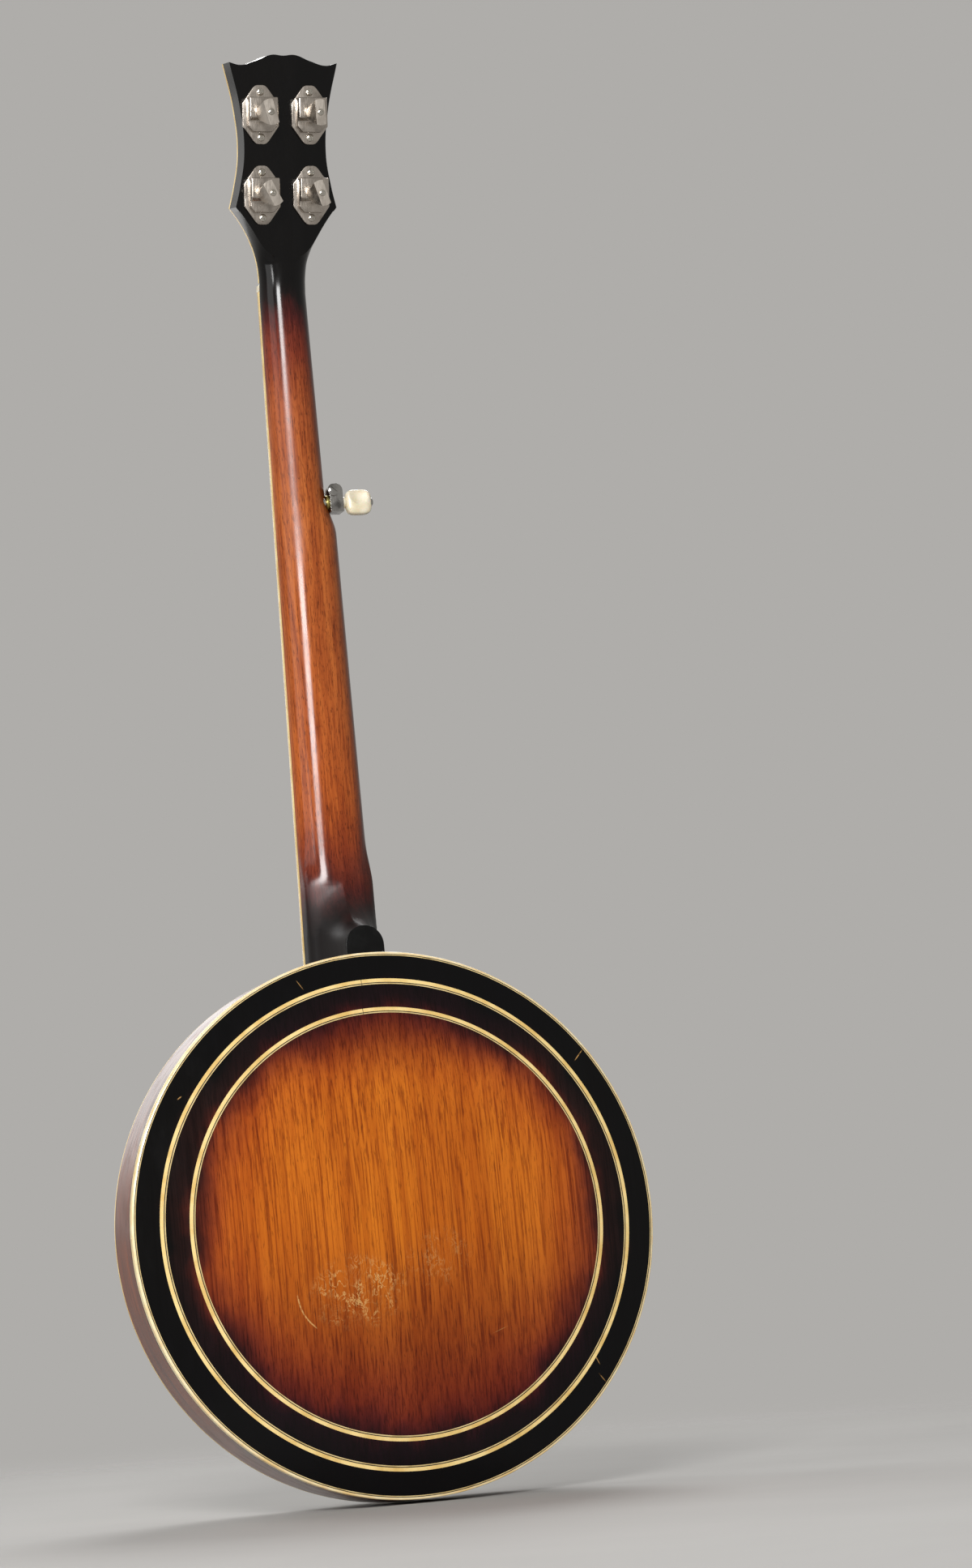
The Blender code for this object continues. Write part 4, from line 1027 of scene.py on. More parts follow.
@dataclass(frozen=True)
class WoundWire(Finish):
    """Steel wire wrapped in a finer wire: the eye gets close rings across the string."""

    name: str = "wound_steel"
    slot: str = "steel"
    # Distance of the rings in millimetres, coarser than the real 0.2 mm so that they show.
    pitch: float = 0.5

    def wire(self, tree: NodeTree) -> Inputs:
        """Adds the rings about the string.

        Args:
            tree: The node tree.

        Returns:
            What the shader's inputs get.
        """
        inputs = {
            "Vector": add_node(tree, "TexCoord", output="Object"),
            "Scale": 0.314 / (self.pitch * MM),
            "Distortion": 0.0,
        }
        rings = add_node(tree, "TexWave", inputs, "Fac", bands_direction="Z")
        share = add_node(tree, "MapRange", (rings, 0.0, 1.0, 0.0, 1.0), **SOFT_ENDS)
        tones = {0: share, 6: linear("#6d6355"), 7: linear("#c9bda5")}
        return {
            "Base Color": add_node(tree, "Mix", tones, 2, **Blend.COVER.value),
            "Metallic": 1.0,
            "Roughness": clouds(tree, (3, 3, 3), (0.3, 0.7), (0.2, 0.4)),
            "Normal": add_node(tree, "Bump", {"Distance": 0.08 * MM, "Height": rings}),
        }


@dataclass(frozen=True)
class Pearl(Finish):
    """Ground and polished shell: the eye gets pale bands that shift between cream, rose and green."""

    name: str = "mother_of_pearl"
    slot: str = "cream_celluloid"
    bands: Stops = ((0.3, "#b9c9c0"), (0.45, "#f1ece0"), (0.55, "#dccbd3"), (0.7, "#c7d6dd"))

    def wire(self, tree: NodeTree) -> Inputs:
        """Adds the shell's wavy bands.

        Args:
            tree: The node tree.

        Returns:
            What the shader's inputs get.
        """
        waves = noise_at(tree, (5, 5, 2.2), 3.0, (0.3, 0.2, 0.5), 1.5)
        return {
            "Base Color": add_node(tree, "ValToRGB", (waves,), stops=self.bands),
            "Roughness": add_node(tree, "MapRange", (waves, 0.3, 0.7, 0.12, 0.3), **SOFT_ENDS),
            "Metallic": 0.25,
            "Normal": add_node(tree, "Bump", {"Distance": 0.01 * MM, "Height": waves}),
        }


CREAM, NICKEL, SATIN = "cream_celluloid", "polished_nickel", "satin_nickel"

SUNBURST = SunburstLacquer()
NECK_LACQUER = NeckLacquer()
SIDE_LACQUER = SideLacquer()
# Sprayed and buffed black lacquer: nearly no colour, so the eye sees its reflections.
BLACK_LACQUER = Plastic("black_lacquer", "black_veneer", "#060505", "#0b0909", 20, (0.08, 0.16), specular=0.25)
# Scraped celluloid that has yellowed: a warm cream with deeper patches.
AGED_CELLULOID = Plastic("aged_celluloid", CREAM, "#efd390", "#d9b469", 16, (0.16, 0.3), 0.08)
# A thin scraped line of the same, duller than the broad strips: a straw tone beside the black one.
PALE_CELLULOID = Plastic("pale_celluloid_line", CREAM, "#dcc48c", "#b99f68", 10, (0.2, 0.35))
# Ivory celluloid that hands keep buffed: paler than the other bindings, with a clear gloss.
CORNER_CELLULOID = Plastic("ivory_celluloid", CREAM, "#f1dfb4", "#e2c183", 18, (0.14, 0.28), 0.08)
# Dyed and scraped paper fibre: a soft brownish black line.
BLACK_FIBRE = Plastic("black_fibre_line", CREAM, "#120d0b", "#1f1512", 8, (0.3, 0.5), specular=0.25)
# Buffed bone: off-white with faint brown pores.
BONE = Plastic("buffed_bone", "bone", "#e6dcc3", "#cfc09a", 3, (0.3, 0.45), 0.1)
# Moulded cream plastic of a peg button, smooth and slightly waxy.
CREAM_PLASTIC = Plastic("moulded_cream_plastic", "cream_plastic", "#eadfc8", "#dccfae", 9, (0.22, 0.34), 0.12)
# Moulded black plastic: even, with a soft sheen.
BLACK_PLASTIC = Plastic(
    "moulded_black_plastic", "black_plastic", "#080808", "#0f0f0f", 9, (0.14, 0.26), specular=0.2
)
# Sprayed polyester film of a drum head: matt white with faint grey rubs.
FROSTED_FILM = Plastic("sprayed_drum_film", "frosted_film", "#e6e3db", "#dcd8ce", 40, (0.5, 0.68), 0.05, 0.03)
# Satin nickel plate on cast cases: a soft warm grey with dull clouds.
SATIN_NICKEL = Metal("satin_nickel_plate", SATIN, "#bdb4aa", "#7f776e", (0.22, 0.34), (0.8, 6, 6), 0.6, 0.004)
# A lighter copy of the satin nickel for the buttons: painted reflection, for their bright flanks and edges.
BRIGHTENED_BUTTON_NICKEL = Metal("painted_bright_nickel_button", SATIN, "#d6cdc2", "#a49b91", (0.3, 0.42), (0.8, 6, 6), 0.5, 0.004)
# Polished nickel plate: a clear warm mirror, dulled in clouds.
POLISHED_NICKEL = Metal(
    "polished_nickel_plate", NICKEL, "#c9c4ba", "#8f887c", (0.1, 0.22), (0.5, 8, 8), 0.45, 0.006
)
# Old chrome plate: bright, with dark spots where it has worn through.
WORN_CHROME = Metal("worn_chrome", NICKEL, "#a9a7a3", "#35322e", (0.08, 0.3), (0.4, 3, 3), 0.85)
# Bare turned brass that has aged: a greenish yellow, dull in patches.
BRASS = Metal("aged_brass", NICKEL, "#a09455", "#5f5730", (0.25, 0.45), (0.4, 3, 3), 0.6)
# Bare drawn steel: a plain cool grey.
PLAIN_STEEL = Metal("plain_steel", "steel", "#b3b1ad", "#77736c", (0.16, 0.36), (0.3, 3, 10), 0.5)
# Cast and turned bronze: a warm gold with fine turning lines.
BELL_BRONZE = Metal("cast_bell_bronze", "bell_bronze", "#b88b4a", "#7c5c31", (0.18, 0.36), (6, 0.5, 6), 0.5)
WOUND_STEEL = WoundWire()
PEARL = Pearl()
# Bent maple under stained lacquer: brown, with streaks round the rim.
MAPLE_RIM = PlainWood("lacquered_maple", "maple", "#8a4f2a", "#6a3519", (50, 1.5, 50), (0.2, 0.34))
# Bare sanded maple: light brown and matt.
BRIDGE_MAPLE = PlainWood("bare_maple", "maple", "#c39a63", "#a07642", (14, 1.2, 1.5), (0.45, 0.6))
# Ebony, polished without a coat: nearly black, with a dull sheen.
EBONY = PlainWood("ebony", "maple", "#17110e", "#0b0807", (1.5, 1.5, 14), (0.3, 0.45))
# Oiled rosewood: dark brown with black streaks along the board.
ROSEWOOD = PlainWood("oiled_rosewood", "rosewood", "#3a1f16", "#1b0d0a", (2.0, 4.0, 34), (0.36, 0.52), 0.05)


# Pieces


def make_piece(
    name: str,
    made: BMesh,
    finish: Finish,
    body: str = "root",
    replaces: Iterable[str] = (),
    slot: str = "",
) -> Object:
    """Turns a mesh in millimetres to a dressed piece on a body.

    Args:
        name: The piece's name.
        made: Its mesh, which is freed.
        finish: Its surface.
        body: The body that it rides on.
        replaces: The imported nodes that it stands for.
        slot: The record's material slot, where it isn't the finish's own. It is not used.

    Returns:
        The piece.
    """
    bmesh.ops.scale(made, vec=(MM, MM, MM), verts=made.verts)
    mesh = bpy.data.meshes.new(name)
    made.to_mesh(mesh)
    made.free()
    mesh.materials.append(finish.material())
    mesh.shade_smooth()
    mesh.set_sharp_from_angle(angle=SHARP_ANGLE)
    piece = linked(name, mesh)
    slot = slot or finish.slot
    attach(piece, body)
    if replaces:
        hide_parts(*replaces)
    LOG.info("%s: %d faces", name, len(mesh.polygons))
    return piece


def dress_nodes(finish: Finish, *names: str) -> None:
    """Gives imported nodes, whose shapes are right, a better surface.

    Args:
        finish: The surface.
        *names: The nodes' names.
    """
    for name in names:
        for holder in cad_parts[name].material_slots:
            holder.material = finish.material()
        LOG.info("%s: packed shape, %s", name, finish.name)


@dataclass(frozen=True)
class Resonator:
    """The domed back with its two inlaid rings, the side wall and the bindings on both edges."""

    radius: float = POT_RADIUS
    rise: float = 12.0
    back_thickness: float = 4.5
    side_depth: float = 42.5
    side_wall: float = 5.5
    corner: float = 2.5
    front: float = 2.0
    ring_radii: tuple[float, float] = (155.5, 136.7)
    ring_half: float = 1.8
    ring_depth: float = 0.9
    ring_joints: tuple[float, float] = (-3.6, -4.7)
    joint_width: float = 0.45
    line_width: float = 0.9
    line_depth: float = 0.5
    proud: float = 0.04
    # Half the width of the opening for the heel, at two depths.
    mouth: tuple[Flat, Flat] = ((11.6, 13.5), (50, 17.9))

    def dome(self, radius: float) -> float:
        """Place along Y of the back's outer face."""
        return -self.rise * (1 - (radius / self.radius) ** 2)

    def back(self) -> None:
        """The domed back, with a groove for each ring."""
        edge = self.radius - self.corner
        outer: list[Flat] = []
        for radius in self.ring_radii:
            high, low = radius + self.ring_half, radius - self.ring_half
            outer += [(r, self.dome(r)) for r in (high + 8, high)]
            outer += [(high, self.dome(high) + self.ring_depth), (low, self.dome(low) + self.ring_depth)]
            outer += [(low, self.dome(low))]
        outer += [(r, self.dome(r)) for r in range(130, 0, -10)]
        inner = [(r, self.dome(r) + self.back_thickness) for r in (40, 80, 120, 150)]
        profile = [(0, self.dome(0) + self.back_thickness), *inner, (edge, self.back_thickness)]
        profile += [(edge, self.dome(edge)), *outer, (0, self.dome(0))]
        made = placed(lathe(profile, 256, ring=False), POT)
        make_piece("resonator_back_burst", made, SUNBURST, replaces=["resonator_back"])

    def rings(self) -> None:
        """Each ring as a broad cream strip, a thin black one and a thin pale one, with a butt joint."""
        half = self.ring_half
        strips = ((-0.55, half, AGED_CELLULOID, "cream"), (-1.15, -0.55, BLACK_FIBRE, "black"))
        strips += ((-half, -1.15, PALE_CELLULOID, "pale"),)
        names = ("outer_ring_inlay", "inner_ring_inlay")
        for radius, node, joint in zip(self.ring_radii, names, self.ring_joints):
            for low, high, finish, tone in strips:
                near, far = radius + low, radius + high
                profile = [
                    (far, self.dome(far) - 0.05),
                    (far, self.dome(far) + self.ring_depth),
                    (near, self.dome(near) + self.ring_depth),
                    (near, self.dome(near) - 0.05),
                ]
                gap = self.joint_width / radius
                start = math.radians(joint - 90) + gap / 2
                made = placed(lathe(profile, 256, start=start, turn=TAU - gap), POT)
                make_piece(f"{node}_{tone}", made, finish, replaces=[node] if tone == "cream" else [])

    def side(self) -> None:
        """The bent side wall, open where the heel enters."""
        outer, inner, step = self.radius, self.radius - self.side_wall, self.radius - self.front
        shoulder, low = self.side_depth - self.front, self.back_thickness + self.line_width
        groove = outer - self.line_depth
        profile = [(step, self.side_depth), (step, shoulder), (outer, shoulder), (outer, low), (groove, low)]
        profile += [(groove, self.back_thickness), (inner, self.back_thickness), (inner, self.side_depth)]
        made = worked(placed(lathe(profile, 256), POT), self.heel_mouth())
        make_piece("resonator_side_bent", made, SIDE_LACQUER, replaces=["resonator_side"])

    def corner_bindings(self) -> None:
        """The ivory binding on the back corner, with a thin line on each side of it."""
        outer, crown, round_off = self.radius, self.radius - self.corner, 0.9
        inner, low = crown + 1.0, self.back_thickness
        corner = [(outer, low)]
        arc = [i * math.pi / 12 for i in range(7)]
        corner += [(outer - round_off * (1 - math.cos(a)), round_off * (1 - math.sin(a))) for a in arc]
        corner += [(inner, self.dome(inner) - self.proud), (inner, low)]
        for name, near, far, finish in (
            ("black", inner - 0.5, inner, BLACK_FIBRE),
            ("pale", crown, inner - 0.5, PALE_CELLULOID),
        ):
            ply = [(far, self.dome(far) - self.proud), (near, self.dome(near) - self.proud)]
            made = placed(lathe([*ply, (near, low), (far, low)], 256), POT)
            make_piece(f"corner_binding_{name}", made, finish)
        made = placed(lathe(corner, 256), POT)
        make_piece("corner_binding", made, CORNER_CELLULOID, replaces=["resonator_back_binding"])
        high, groove = low + self.line_width, outer - self.line_depth
        line = [(outer, high), (outer, low), (groove, low), (groove, high)]
        made = worked(placed(lathe(line, 256), POT), self.heel_mouth())
        make_piece("corner_binding_line", made, BLACK_FIBRE)

    def front_binding(self) -> None:
        """The binding on the side's front edge."""
        outer, step, shoulder = self.radius, self.radius - self.front, self.side_depth - self.front
        front = [(outer, self.side_depth), (outer, shoulder), (step, shoulder), (step, self.side_depth)]
        made = worked(eased(placed(lathe(front, 256), POT), 0.3), self.heel_mouth())
        make_piece("front_edge_binding", made, AGED_CELLULOID, replaces=["resonator_front_binding"])

    def heel_mouth(self) -> BMesh:
        """The tool that opens the side where the heel enters."""
        low, high = self.radius * 2 - 20, self.radius * 2 + 10
        return loft([[(-w, y, low), (w, y, low), (w, y, high), (-w, y, high)] for y, w in self.mouth])

    def build(self) -> None:
        """Builds and dresses the whole resonator."""
        self.back()
        self.rings()
        self.side()
        self.corner_bindings()
        self.front_binding()
        dress_nodes(POLISHED_NICKEL, *(f"wall_lug_{number}" for number in range(1, 5)))


@dataclass(frozen=True)
class Pot:
    """Rim, tone ring, head, tension hoop with its hooks, flange and thumbscrews."""

    hooks: int = 24
    first_hook: float = 10.9
    hook_radius: float = 149.2
    hook_wire: float = 1.8
    hoop_outer: float = 146.5
    hoop_inner: float = 140.4
    hoop_back: float = 60.0
    hoop_front: float = 75.0
    notch_floor: float = 67.2
    notch_half: float = 25.6
    rim_outer: float = 138.6
    rim_inner: float = 120.0
    rim_back: float = 8.0
    rim_front: float = 56.0
    head_top: float = 71.35
    skirt: float = 139.7
    flange_outer: float = 168.6
    flange_inner: float = 139.1
    flange_back: float = 40.0
    flange_front: float = 42.5
    heel_gap: float = 17.8
    heel_band: float = 152.6
    kidney: Place = (154.6, 159.1, 163.6)
    screw_gaps: tuple[int, ...] = (2, 8, 14, 20)
    screw_radius: float = 163.0
    knurl: float = 0.035

    def hook_angle(self, index: float) -> float:
        """Angle of a hook, or of a gap at a half number."""
        first = math.radians(self.first_hook)
        return first + index * (TAU - 2 * first) / (self.hooks - 1)

    def rim(self) -> None:
        """The bent maple rim and the cast tone ring on its front edge."""
        profile = [(self.rim_outer, self.rim_front), (self.rim_outer, self.rim_back)]
        profile += [(self.rim_inner, self.rim_back), (self.rim_inner, self.rim_front)]
        made = eased(placed(lathe(profile), POT), 0.8)
        make_piece("pot_rim", made, MAPLE_RIM, replaces=["rim"])
        foot, top = self.rim_front, 70.8
        ring = [(139.3, top - 1.2), (139.3, foot), (134.5, foot), (134.5, 66.5), (122, 63), (122, foot)]
        ring += [(119.5, foot), (118.5, 65), (131, top - 0.2), (134.5, top), (138.2, top - 0.2)]
        make_piece("cast_tone_ring", placed(lathe(ring), POT), BELL_BRONZE, replaces=["tone_ring"])

    def head(self) -> None:
        """The head: a film drawn over the tone ring, with its crown and its clamped edge."""
        top, skirt = self.head_top, self.skirt
        turns, bend = (0, 0.4, 0.8, 1.2, 1.57), 1.6
        crown = [(skirt - bend + bend * math.sin(a), top - bend + bend * math.cos(a)) for a in turns]
        profile = [(0, top), (60, top), (120, top), *crown, (skirt, 66.2), (143, 66.2), (143, 62.5)]
        profile.append((skirt - 0.3, 62.5))
        profile += [(skirt - 0.4, top - 1.8), (skirt - 1.8, top - 0.35), (0, top - 0.35)]
        made = placed(lathe(profile, ring=False), POT)
        make_piece("drum_head", made, FROSTED_FILM, replaces=["head"])

    def hoop(self) -> None:
        """The tension hoop, notched for the fingerboard."""
        outer, inner = self.hoop_outer, self.hoop_inner
        profile = [(outer, self.hoop_front), (outer, self.hoop_back), (143.4, self.hoop_back), (143.4, 66.6)]
        profile += [(inner, 66.6), (inner, self.hoop_front)]
        half, low = self.notch_half, self.hoop_front + 5
        notch = block((-half, self.notch_floor, POT_RADIUS + 125), (half, low, POT_RADIUS + 152))
        made = worked(eased(placed(lathe(profile), POT), 0.6), notch)
        make_piece("hoop", made, POLISHED_NICKEL, replaces=["tension_hoop"])

    def hook_mesh(self) -> BMesh:
        """Makes one hook on the X axis: a straight shank that bends over the hoop's front edge.

        Returns:
            A closed mesh.
        """
        r, over = self.hook_radius, self.hoop_front - 0.6
        route = [(r, 0, 24), (r, 0, 50), (r, 0, self.hoop_front - 5), (r - 0.9, 0, over - 1.0)]
        route += [(r - 3.2, 0, over), (self.hoop_inner + 2.2, 0, over)]
        return strand(route, self.hook_wire, 3, smooth=True)

    def nut_mesh(self) -> BMesh:
        """Makes one long hexagonal nut behind the flange, with a domed end.

        Returns:
            A closed mesh.
        """
        r, low, high = self.hook_radius, 19.0, self.flange_back - 0.3
        body = eased(bar((r, 0, low + 2), (r, 0, high), 4.0, 6), 0.35)
        end = [(0, low + 2.2), (3.3, low + 2.2), (3.2, low + 1.0), (2.2, low + 0.2), (0, low)]
        dome = placed(lathe(end, 24, ring=False), Matrix.Translation((r, 0, 0)))
        return merged(body, dome)

    def hooks_and_nuts(self) -> None:
        """All hooks and their nuts, one after the other round the pot."""
        for index in range(self.hooks):
            turn = around_pot(self.hook_angle(index))
            hook, nut = placed(self.hook_mesh(), turn), placed(self.nut_mesh(), turn)
            make_piece(f"hook_{index + 1:02d}", hook, POLISHED_NICKEL)
            make_piece(f"bracket_nut_{index + 1:02d}", nut, POLISHED_NICKEL)

    def flange(self) -> None:
        """The one-piece flange with its kidney-shaped sound holes and the holes for hooks and screws."""

        def spot(radius: float, angle: float) -> Flat:
            """A point on the flange's plane."""
            return radius * math.sin(angle), -radius * math.cos(angle)

        def dot(radius: float, angle: float, size: float) -> list[Knot]:
            """A round hole."""
            x, y = spot(radius, angle)
            return [(x + size, y, "AUTO"), (x, y + size, "AUTO"), (x - size, y, "AUTO"), (x, y - size, "AUTO")]

        notch, band = math.asin(self.heel_gap / self.flange_outer), math.asin(self.heel_gap / self.heel_band)
        count = 160
        sweep = [notch + (TAU - 2 * notch) * i / count for i in range(count + 1)]
        edge: list[Flat] = [spot(self.flange_outer, a) for a in sweep]
        edge += [spot(self.heel_band, TAU - band + 2 * band * i / 5) for i in range(6)]
        outlines: list[Sequence[Knot] | Sequence[Flat]] = [edge]
        outlines.append([spot(self.flange_inner, TAU * i / count) for i in range(count)])
        for index in range(self.hooks):
            outlines.append(dot(self.hook_radius, self.hook_angle(index), 2.6))
        for index in range(self.hooks - 1):
            middle = self.hook_angle(index + 0.5)
            if index in self.screw_gaps:
                outlines.append(dot(self.screw_radius, middle, 2.7))
                continue
            half, tip = math.radians(4.3), math.radians(1.5)
            near, middle_radius, far = self.kidney
            ends = [(near, half), (middle_radius, half + tip), (far, half), (far, 0), (far, -half)]
            ends += [(middle_radius, -half - tip), (near, -half), (near, 0)]
            outlines.append([(*spot(r, middle + a), "AUTO") for r, a in ends])
        made = eased(placed(plate(outlines, self.flange_back, self.flange_front, 5), POT), 0.4)
        make_piece("flange_plate", made, POLISHED_NICKEL, replaces=["flange"])

    def thumbscrews(self) -> None:
        """The four knurled screws that hold the resonator."""
        seat = self.flange_front + 0.3
        profile = [(0, 13), (3.6, 13), (4.6, 12.6), (5.7, 11.8), (6, 11.3), (6, 9), (6, 6.7), (5.6, 6.2)]
        profile += [(3, 4.6), (2.8, 3.2), (3, 2), (5.2, 1.6), (5.2, 0), (2, 0), (2, 23 - seat), (0, 22 - seat)]
        for number, gap in enumerate(self.screw_gaps, 1):
            made = lathe(profile, 96, ring=False)
            for vert in made.verts:
                if math.hypot(vert.co.x, vert.co.y) > 5.5 and vert.co.z > 6:
                    turn = math.atan2(vert.co.y, vert.co.x)
                    shrink = 1 - self.knurl * (0.5 + 0.5 * math.cos(24 * turn))
                    vert.co.x, vert.co.y = vert.co.x * shrink, vert.co.y * shrink
            placed(made, around_pot(self.hook_angle(gap + 0.5), self.screw_radius, seat))
            name = f"thumbscrew_{number}"
            make_piece(f"{name}_knurled", made, POLISHED_NICKEL, name, [name])

    def build(self) -> None:
        """Builds and dresses the whole pot."""
        self.rim()
        self.head()
        self.hoop()
        self.hooks_and_nuts()
        self.flange()
        self.thumbscrews()
        dress_nodes(PLAIN_STEEL, "coordinator_rod_upper", "coordinator_rod_lower")
        dress_nodes(PLAIN_STEEL, "neck_bolt_upper", "neck_bolt_lower")


@dataclass(frozen=True)
class NeckLine:
    """The lines that the neck, its fingerboard and its headstock are drawn from."""

    nut_z: float = 804.0
    nut_length: float = 4.5
    scale_length: float = 667.0
    board_end: float = 316.5
    board_at_nut: float = 57.0
    board_rise: float = 16.5
    board_run: float = 480.0
    board_thickness: float = 6.0
    nut_centre: float = -3.0
    nut_half: float = 15.6
    end_half: float = 24.4
    step: float = 6.0
    step_low: float = 637.0
    step_top: float = 663.0
    foot_z: float = 806.5
    tilt: float = math.radians(13)
    wood: float = 14.5
    overlay: float = 2.0
    flare_half: float = 35.0
    flare_length: float = 52.0
    flare_power: float = 2.2
    strings_at_nut: float = 58.6
    string_gap: float = 8.0
    fifth_nut_x: float = 17.2

    def board_top(self, z: float) -> float:
        """The fingerboard's playing face."""
        return self.board_at_nut + self.board_rise * (self.nut_z - z) / self.board_run

    def treble_edge(self, z: float) -> float:
        """The neck's straight edge, towards -X."""
        start = self.nut_half - self.nut_centre
        return -(start + (self.end_half - start) * (self.nut_z - z) / self.board_run)

    def bass_edge(self, z: float) -> float:
        """The neck's edge towards +X, which steps in past the fifth string's nut."""
        share = min(max((z - self.step_low) / (self.step_top - self.step_low), 0.0), 1.0)
        return -self.treble_edge(z) - self.step * share * share * (3 - 2 * share)

    def wood_front(self, z: float) -> float:
        """The headstock's front face, under its overlay."""
        return self.board_at_nut - self.board_thickness - 0.3 - (z - self.foot_z) * math.tan(self.tilt)

    def flare(self, s: float) -> float:
        """Half the headstock's width between its foot and its lower points."""
        grown = (s / self.flare_length) ** self.flare_power
        return self.nut_half + (self.flare_half - self.nut_half) * grown

    def fret_z(self, number: float) -> float:
        """Height of a fret."""
        return self.nut_z - self.scale_length * (1 - 2 ** (-number / 12))

    def fifth_nut_z(self) -> float:
        """Height of the fifth string's nut, just above the fifth fret."""
        return self.fret_z(5) + 4.5

    def headstock(self) -> Matrix:
        """Works out the headstock's frame: X to the treble side, Y up its length and Z to the front.

        Returns:
            The frame's matrix.
        """
        sine, cosine = math.sin(self.tilt), math.cos(self.tilt)
        place = Matrix.Translation((self.nut_centre, self.wood_front(self.foot_z), self.foot_z))
        return place @ Matrix(((-1, 0, 0, 0), (0, -sine, cosine, 0), (0, cosine, sine, 0), (0, 0, 0, 1)))

    def crown_outline(self, start: float) -> list[Knot]:
        """Draws the headstock's outline from one side round the crown to the other.

        Args:
            start: The place on its flare where the outline starts.

        Returns:
            Its knots, in the headstock's frame.
        """
        half: list[Knot] = [(self.flare(start), start, "VECTOR")]
        half += [(self.flare(s), s, "AUTO") for s in (39.0, 46.0) if s > start + 4]
        half += [(self.flare_half, self.flare_length, "VECTOR"), (31.6, 66, "AUTO"), (28.4, 88, "AUTO")]
        half += [(30.6, 117, "AUTO"), (37.4, 147.5, "VECTOR"), (29.5, 145.8, "AUTO"), (18.5, 148.8, "AUTO")]
        half += [(8, 152.7, "AUTO")]
        return half + [(0, 152.2, "AUTO")] + [(-x, y, kind) for x, y, kind in reversed(half)]


LINE = NeckLine()


@dataclass(frozen=True)
class Neck:
    """The neck, carved from one piece: shaft, heel and headstock."""

    line: NeckLine = LINE
    depth_at_nut: float = 14.2
    depth_at_heel: float = 17.0
    wood_above_joint: float = 1.0
    points: int = 26
    heel_foot: float = 312.0
    heel_back: float = 14.3
    heel_tip: float = 369.4
    heel_half: float = 12.8
    curl: float = 10.5
    curl_scale: float = 1.43
    reach: float = 41.7
    heel_soft: float = 2.2
    heel_top: float = 440.0
    # The power and root that give the neck's back its round.
    roundness: Flat = (2.22, 0.45)

    def heel_face(self, z: float) -> float:
        """How far back the heel comes at a height."""
        past = max(z - self.heel_tip, 0.0)
        return self.heel_back + self.curl * math.log(1 + past / self.curl_scale)

    def heel_width(self, y: float, z: float) -> float:
        """Works out half the heel's width: arches that grow wider and taller towards the front.

        Args:
            y: The place from back to front.
            z: The height.

        Returns:
            Half the width.
        """
        if y < self.heel_back - 1e-6:
            return 0.0
        share = (y - self.heel_back) / self.reach
        tip = self.heel_tip + self.curl_scale * (math.exp((y - self.heel_back) / self.curl) - 1)
        rise = 13 + 37 * share**2.6
        half = self.heel_half + 10 * share**2.2
        above = (z - (tip - rise)) / rise
        return 0.0 if above >= 1 else half * (1 - max(above, 0.0) ** 2) ** (0.5 + 0.5 * share)

    def shaft_ring(self, z: float) -> list[Place]:
        """Draws a section of the shaft, where the heel melts into the round of the neck.

        Args:
            z: The section's height.

        Returns:
            Its ring of points.
        """
        line = self.line
        share = (line.nut_z - z) / line.board_run
        top = line.board_top(z) - line.board_thickness + self.wood_above_joint
        depth = self.depth_at_nut + (self.depth_at_heel - self.depth_at_nut) * share + self.wood_above_joint
        left, right = line.treble_edge(z), line.bass_edge(z)
        centre, half = (left + right) / 2, (right - left) / 2
        round_back, heel = top - depth, self.heel_face(z) if z < self.heel_top else 1e6
        blend = self.heel_soft * math.log1p(math.exp(-abs(round_back - heel) / self.heel_soft))
        back = min(round_back, heel) - blend
        power, root = self.roundness

        def half_width(y: float) -> float:
            """Works out half the width from the neck's round and the heel together.

            Args:
                y: The place from back to front.

            Returns:
                Half the width.
            """
            share_down = min((top - y) / (depth + blend), 1.0)
            neck = half * (1 - share_down**power) ** root
            block_half = self.heel_width(min(y + blend, 56.0), z) if z < self.heel_top else 0.0
            room, extra = max(half - neck, 1e-6), (neck**5 + block_half**5) ** 0.2 - neck
            return neck + extra / (1 + (extra / room) ** 6) ** (1 / 6)

        return self.closed_ring(centre, top, back, z, half_width)

    def flare_ring(self, s: float) -> list[Place]:
        """Draws a section of the headstock's flare, which grows deeper with its length.

        Args:
            s: The section's place along the headstock.

        Returns:
            Its ring of points.
        """
        line = self.line
        power, root = self.roundness
        z = line.foot_z + s * math.cos(line.tilt)
        top = line.wood_front(z)
        depth = (self.depth_at_nut + 0.3 + 0.55 * max(s - 14, 0) ** 1.35) / math.cos(line.tilt)

        def half_width(y: float) -> float:
            """Half the width at a depth."""
            along = min(s + (top - y) * math.sin(line.tilt), line.flare_length)
            return line.flare(along) * (1 - min((top - y) / depth, 1.0) ** power) ** root

        return self.closed_ring(line.nut_centre, top, top - depth, z, half_width)

    def closed_ring(self, centre: float, top: float, back: float, z: float, half_width: Outline) -> list[Place]:
        """Draws a ring from one edge round the back to the other, with points crowding towards the back.

        Args:
            centre: The middle across the neck.
            top: The front face's place along Y.
            back: The back's place along Y.
            z: The ring's height.
            half_width: Half the width at a place along Y.

        Returns:
            The ring's points.
        """
        levels = [top - (top - back) * math.sin(math.pi / 2 * i / self.points) for i in range(self.points)]
        side = [(half_width(y), y) for y in levels]
        ring = [(centre - w, y, z) for w, y in side] + [(centre, back, z)]
        return ring + [(centre + w, y, z) for w, y in reversed(side)]

    def clearance(self) -> BMesh:
        """Makes the tool that frees the rim, the hoop and the flange from the heel.

        Returns:
            A closed mesh.
        """
        profile = [(0, 80), (146.9, 80), (146.9, 59.6), (139.8, 59.6), (139.8, 56), (139, 56), (139, 42.9)]
        profile += [(153, 42.9), (153, 39.6), (139, 39.6), (139, 0), (0, 0)]
        return placed(lathe(profile, 240, ring=False), POT)

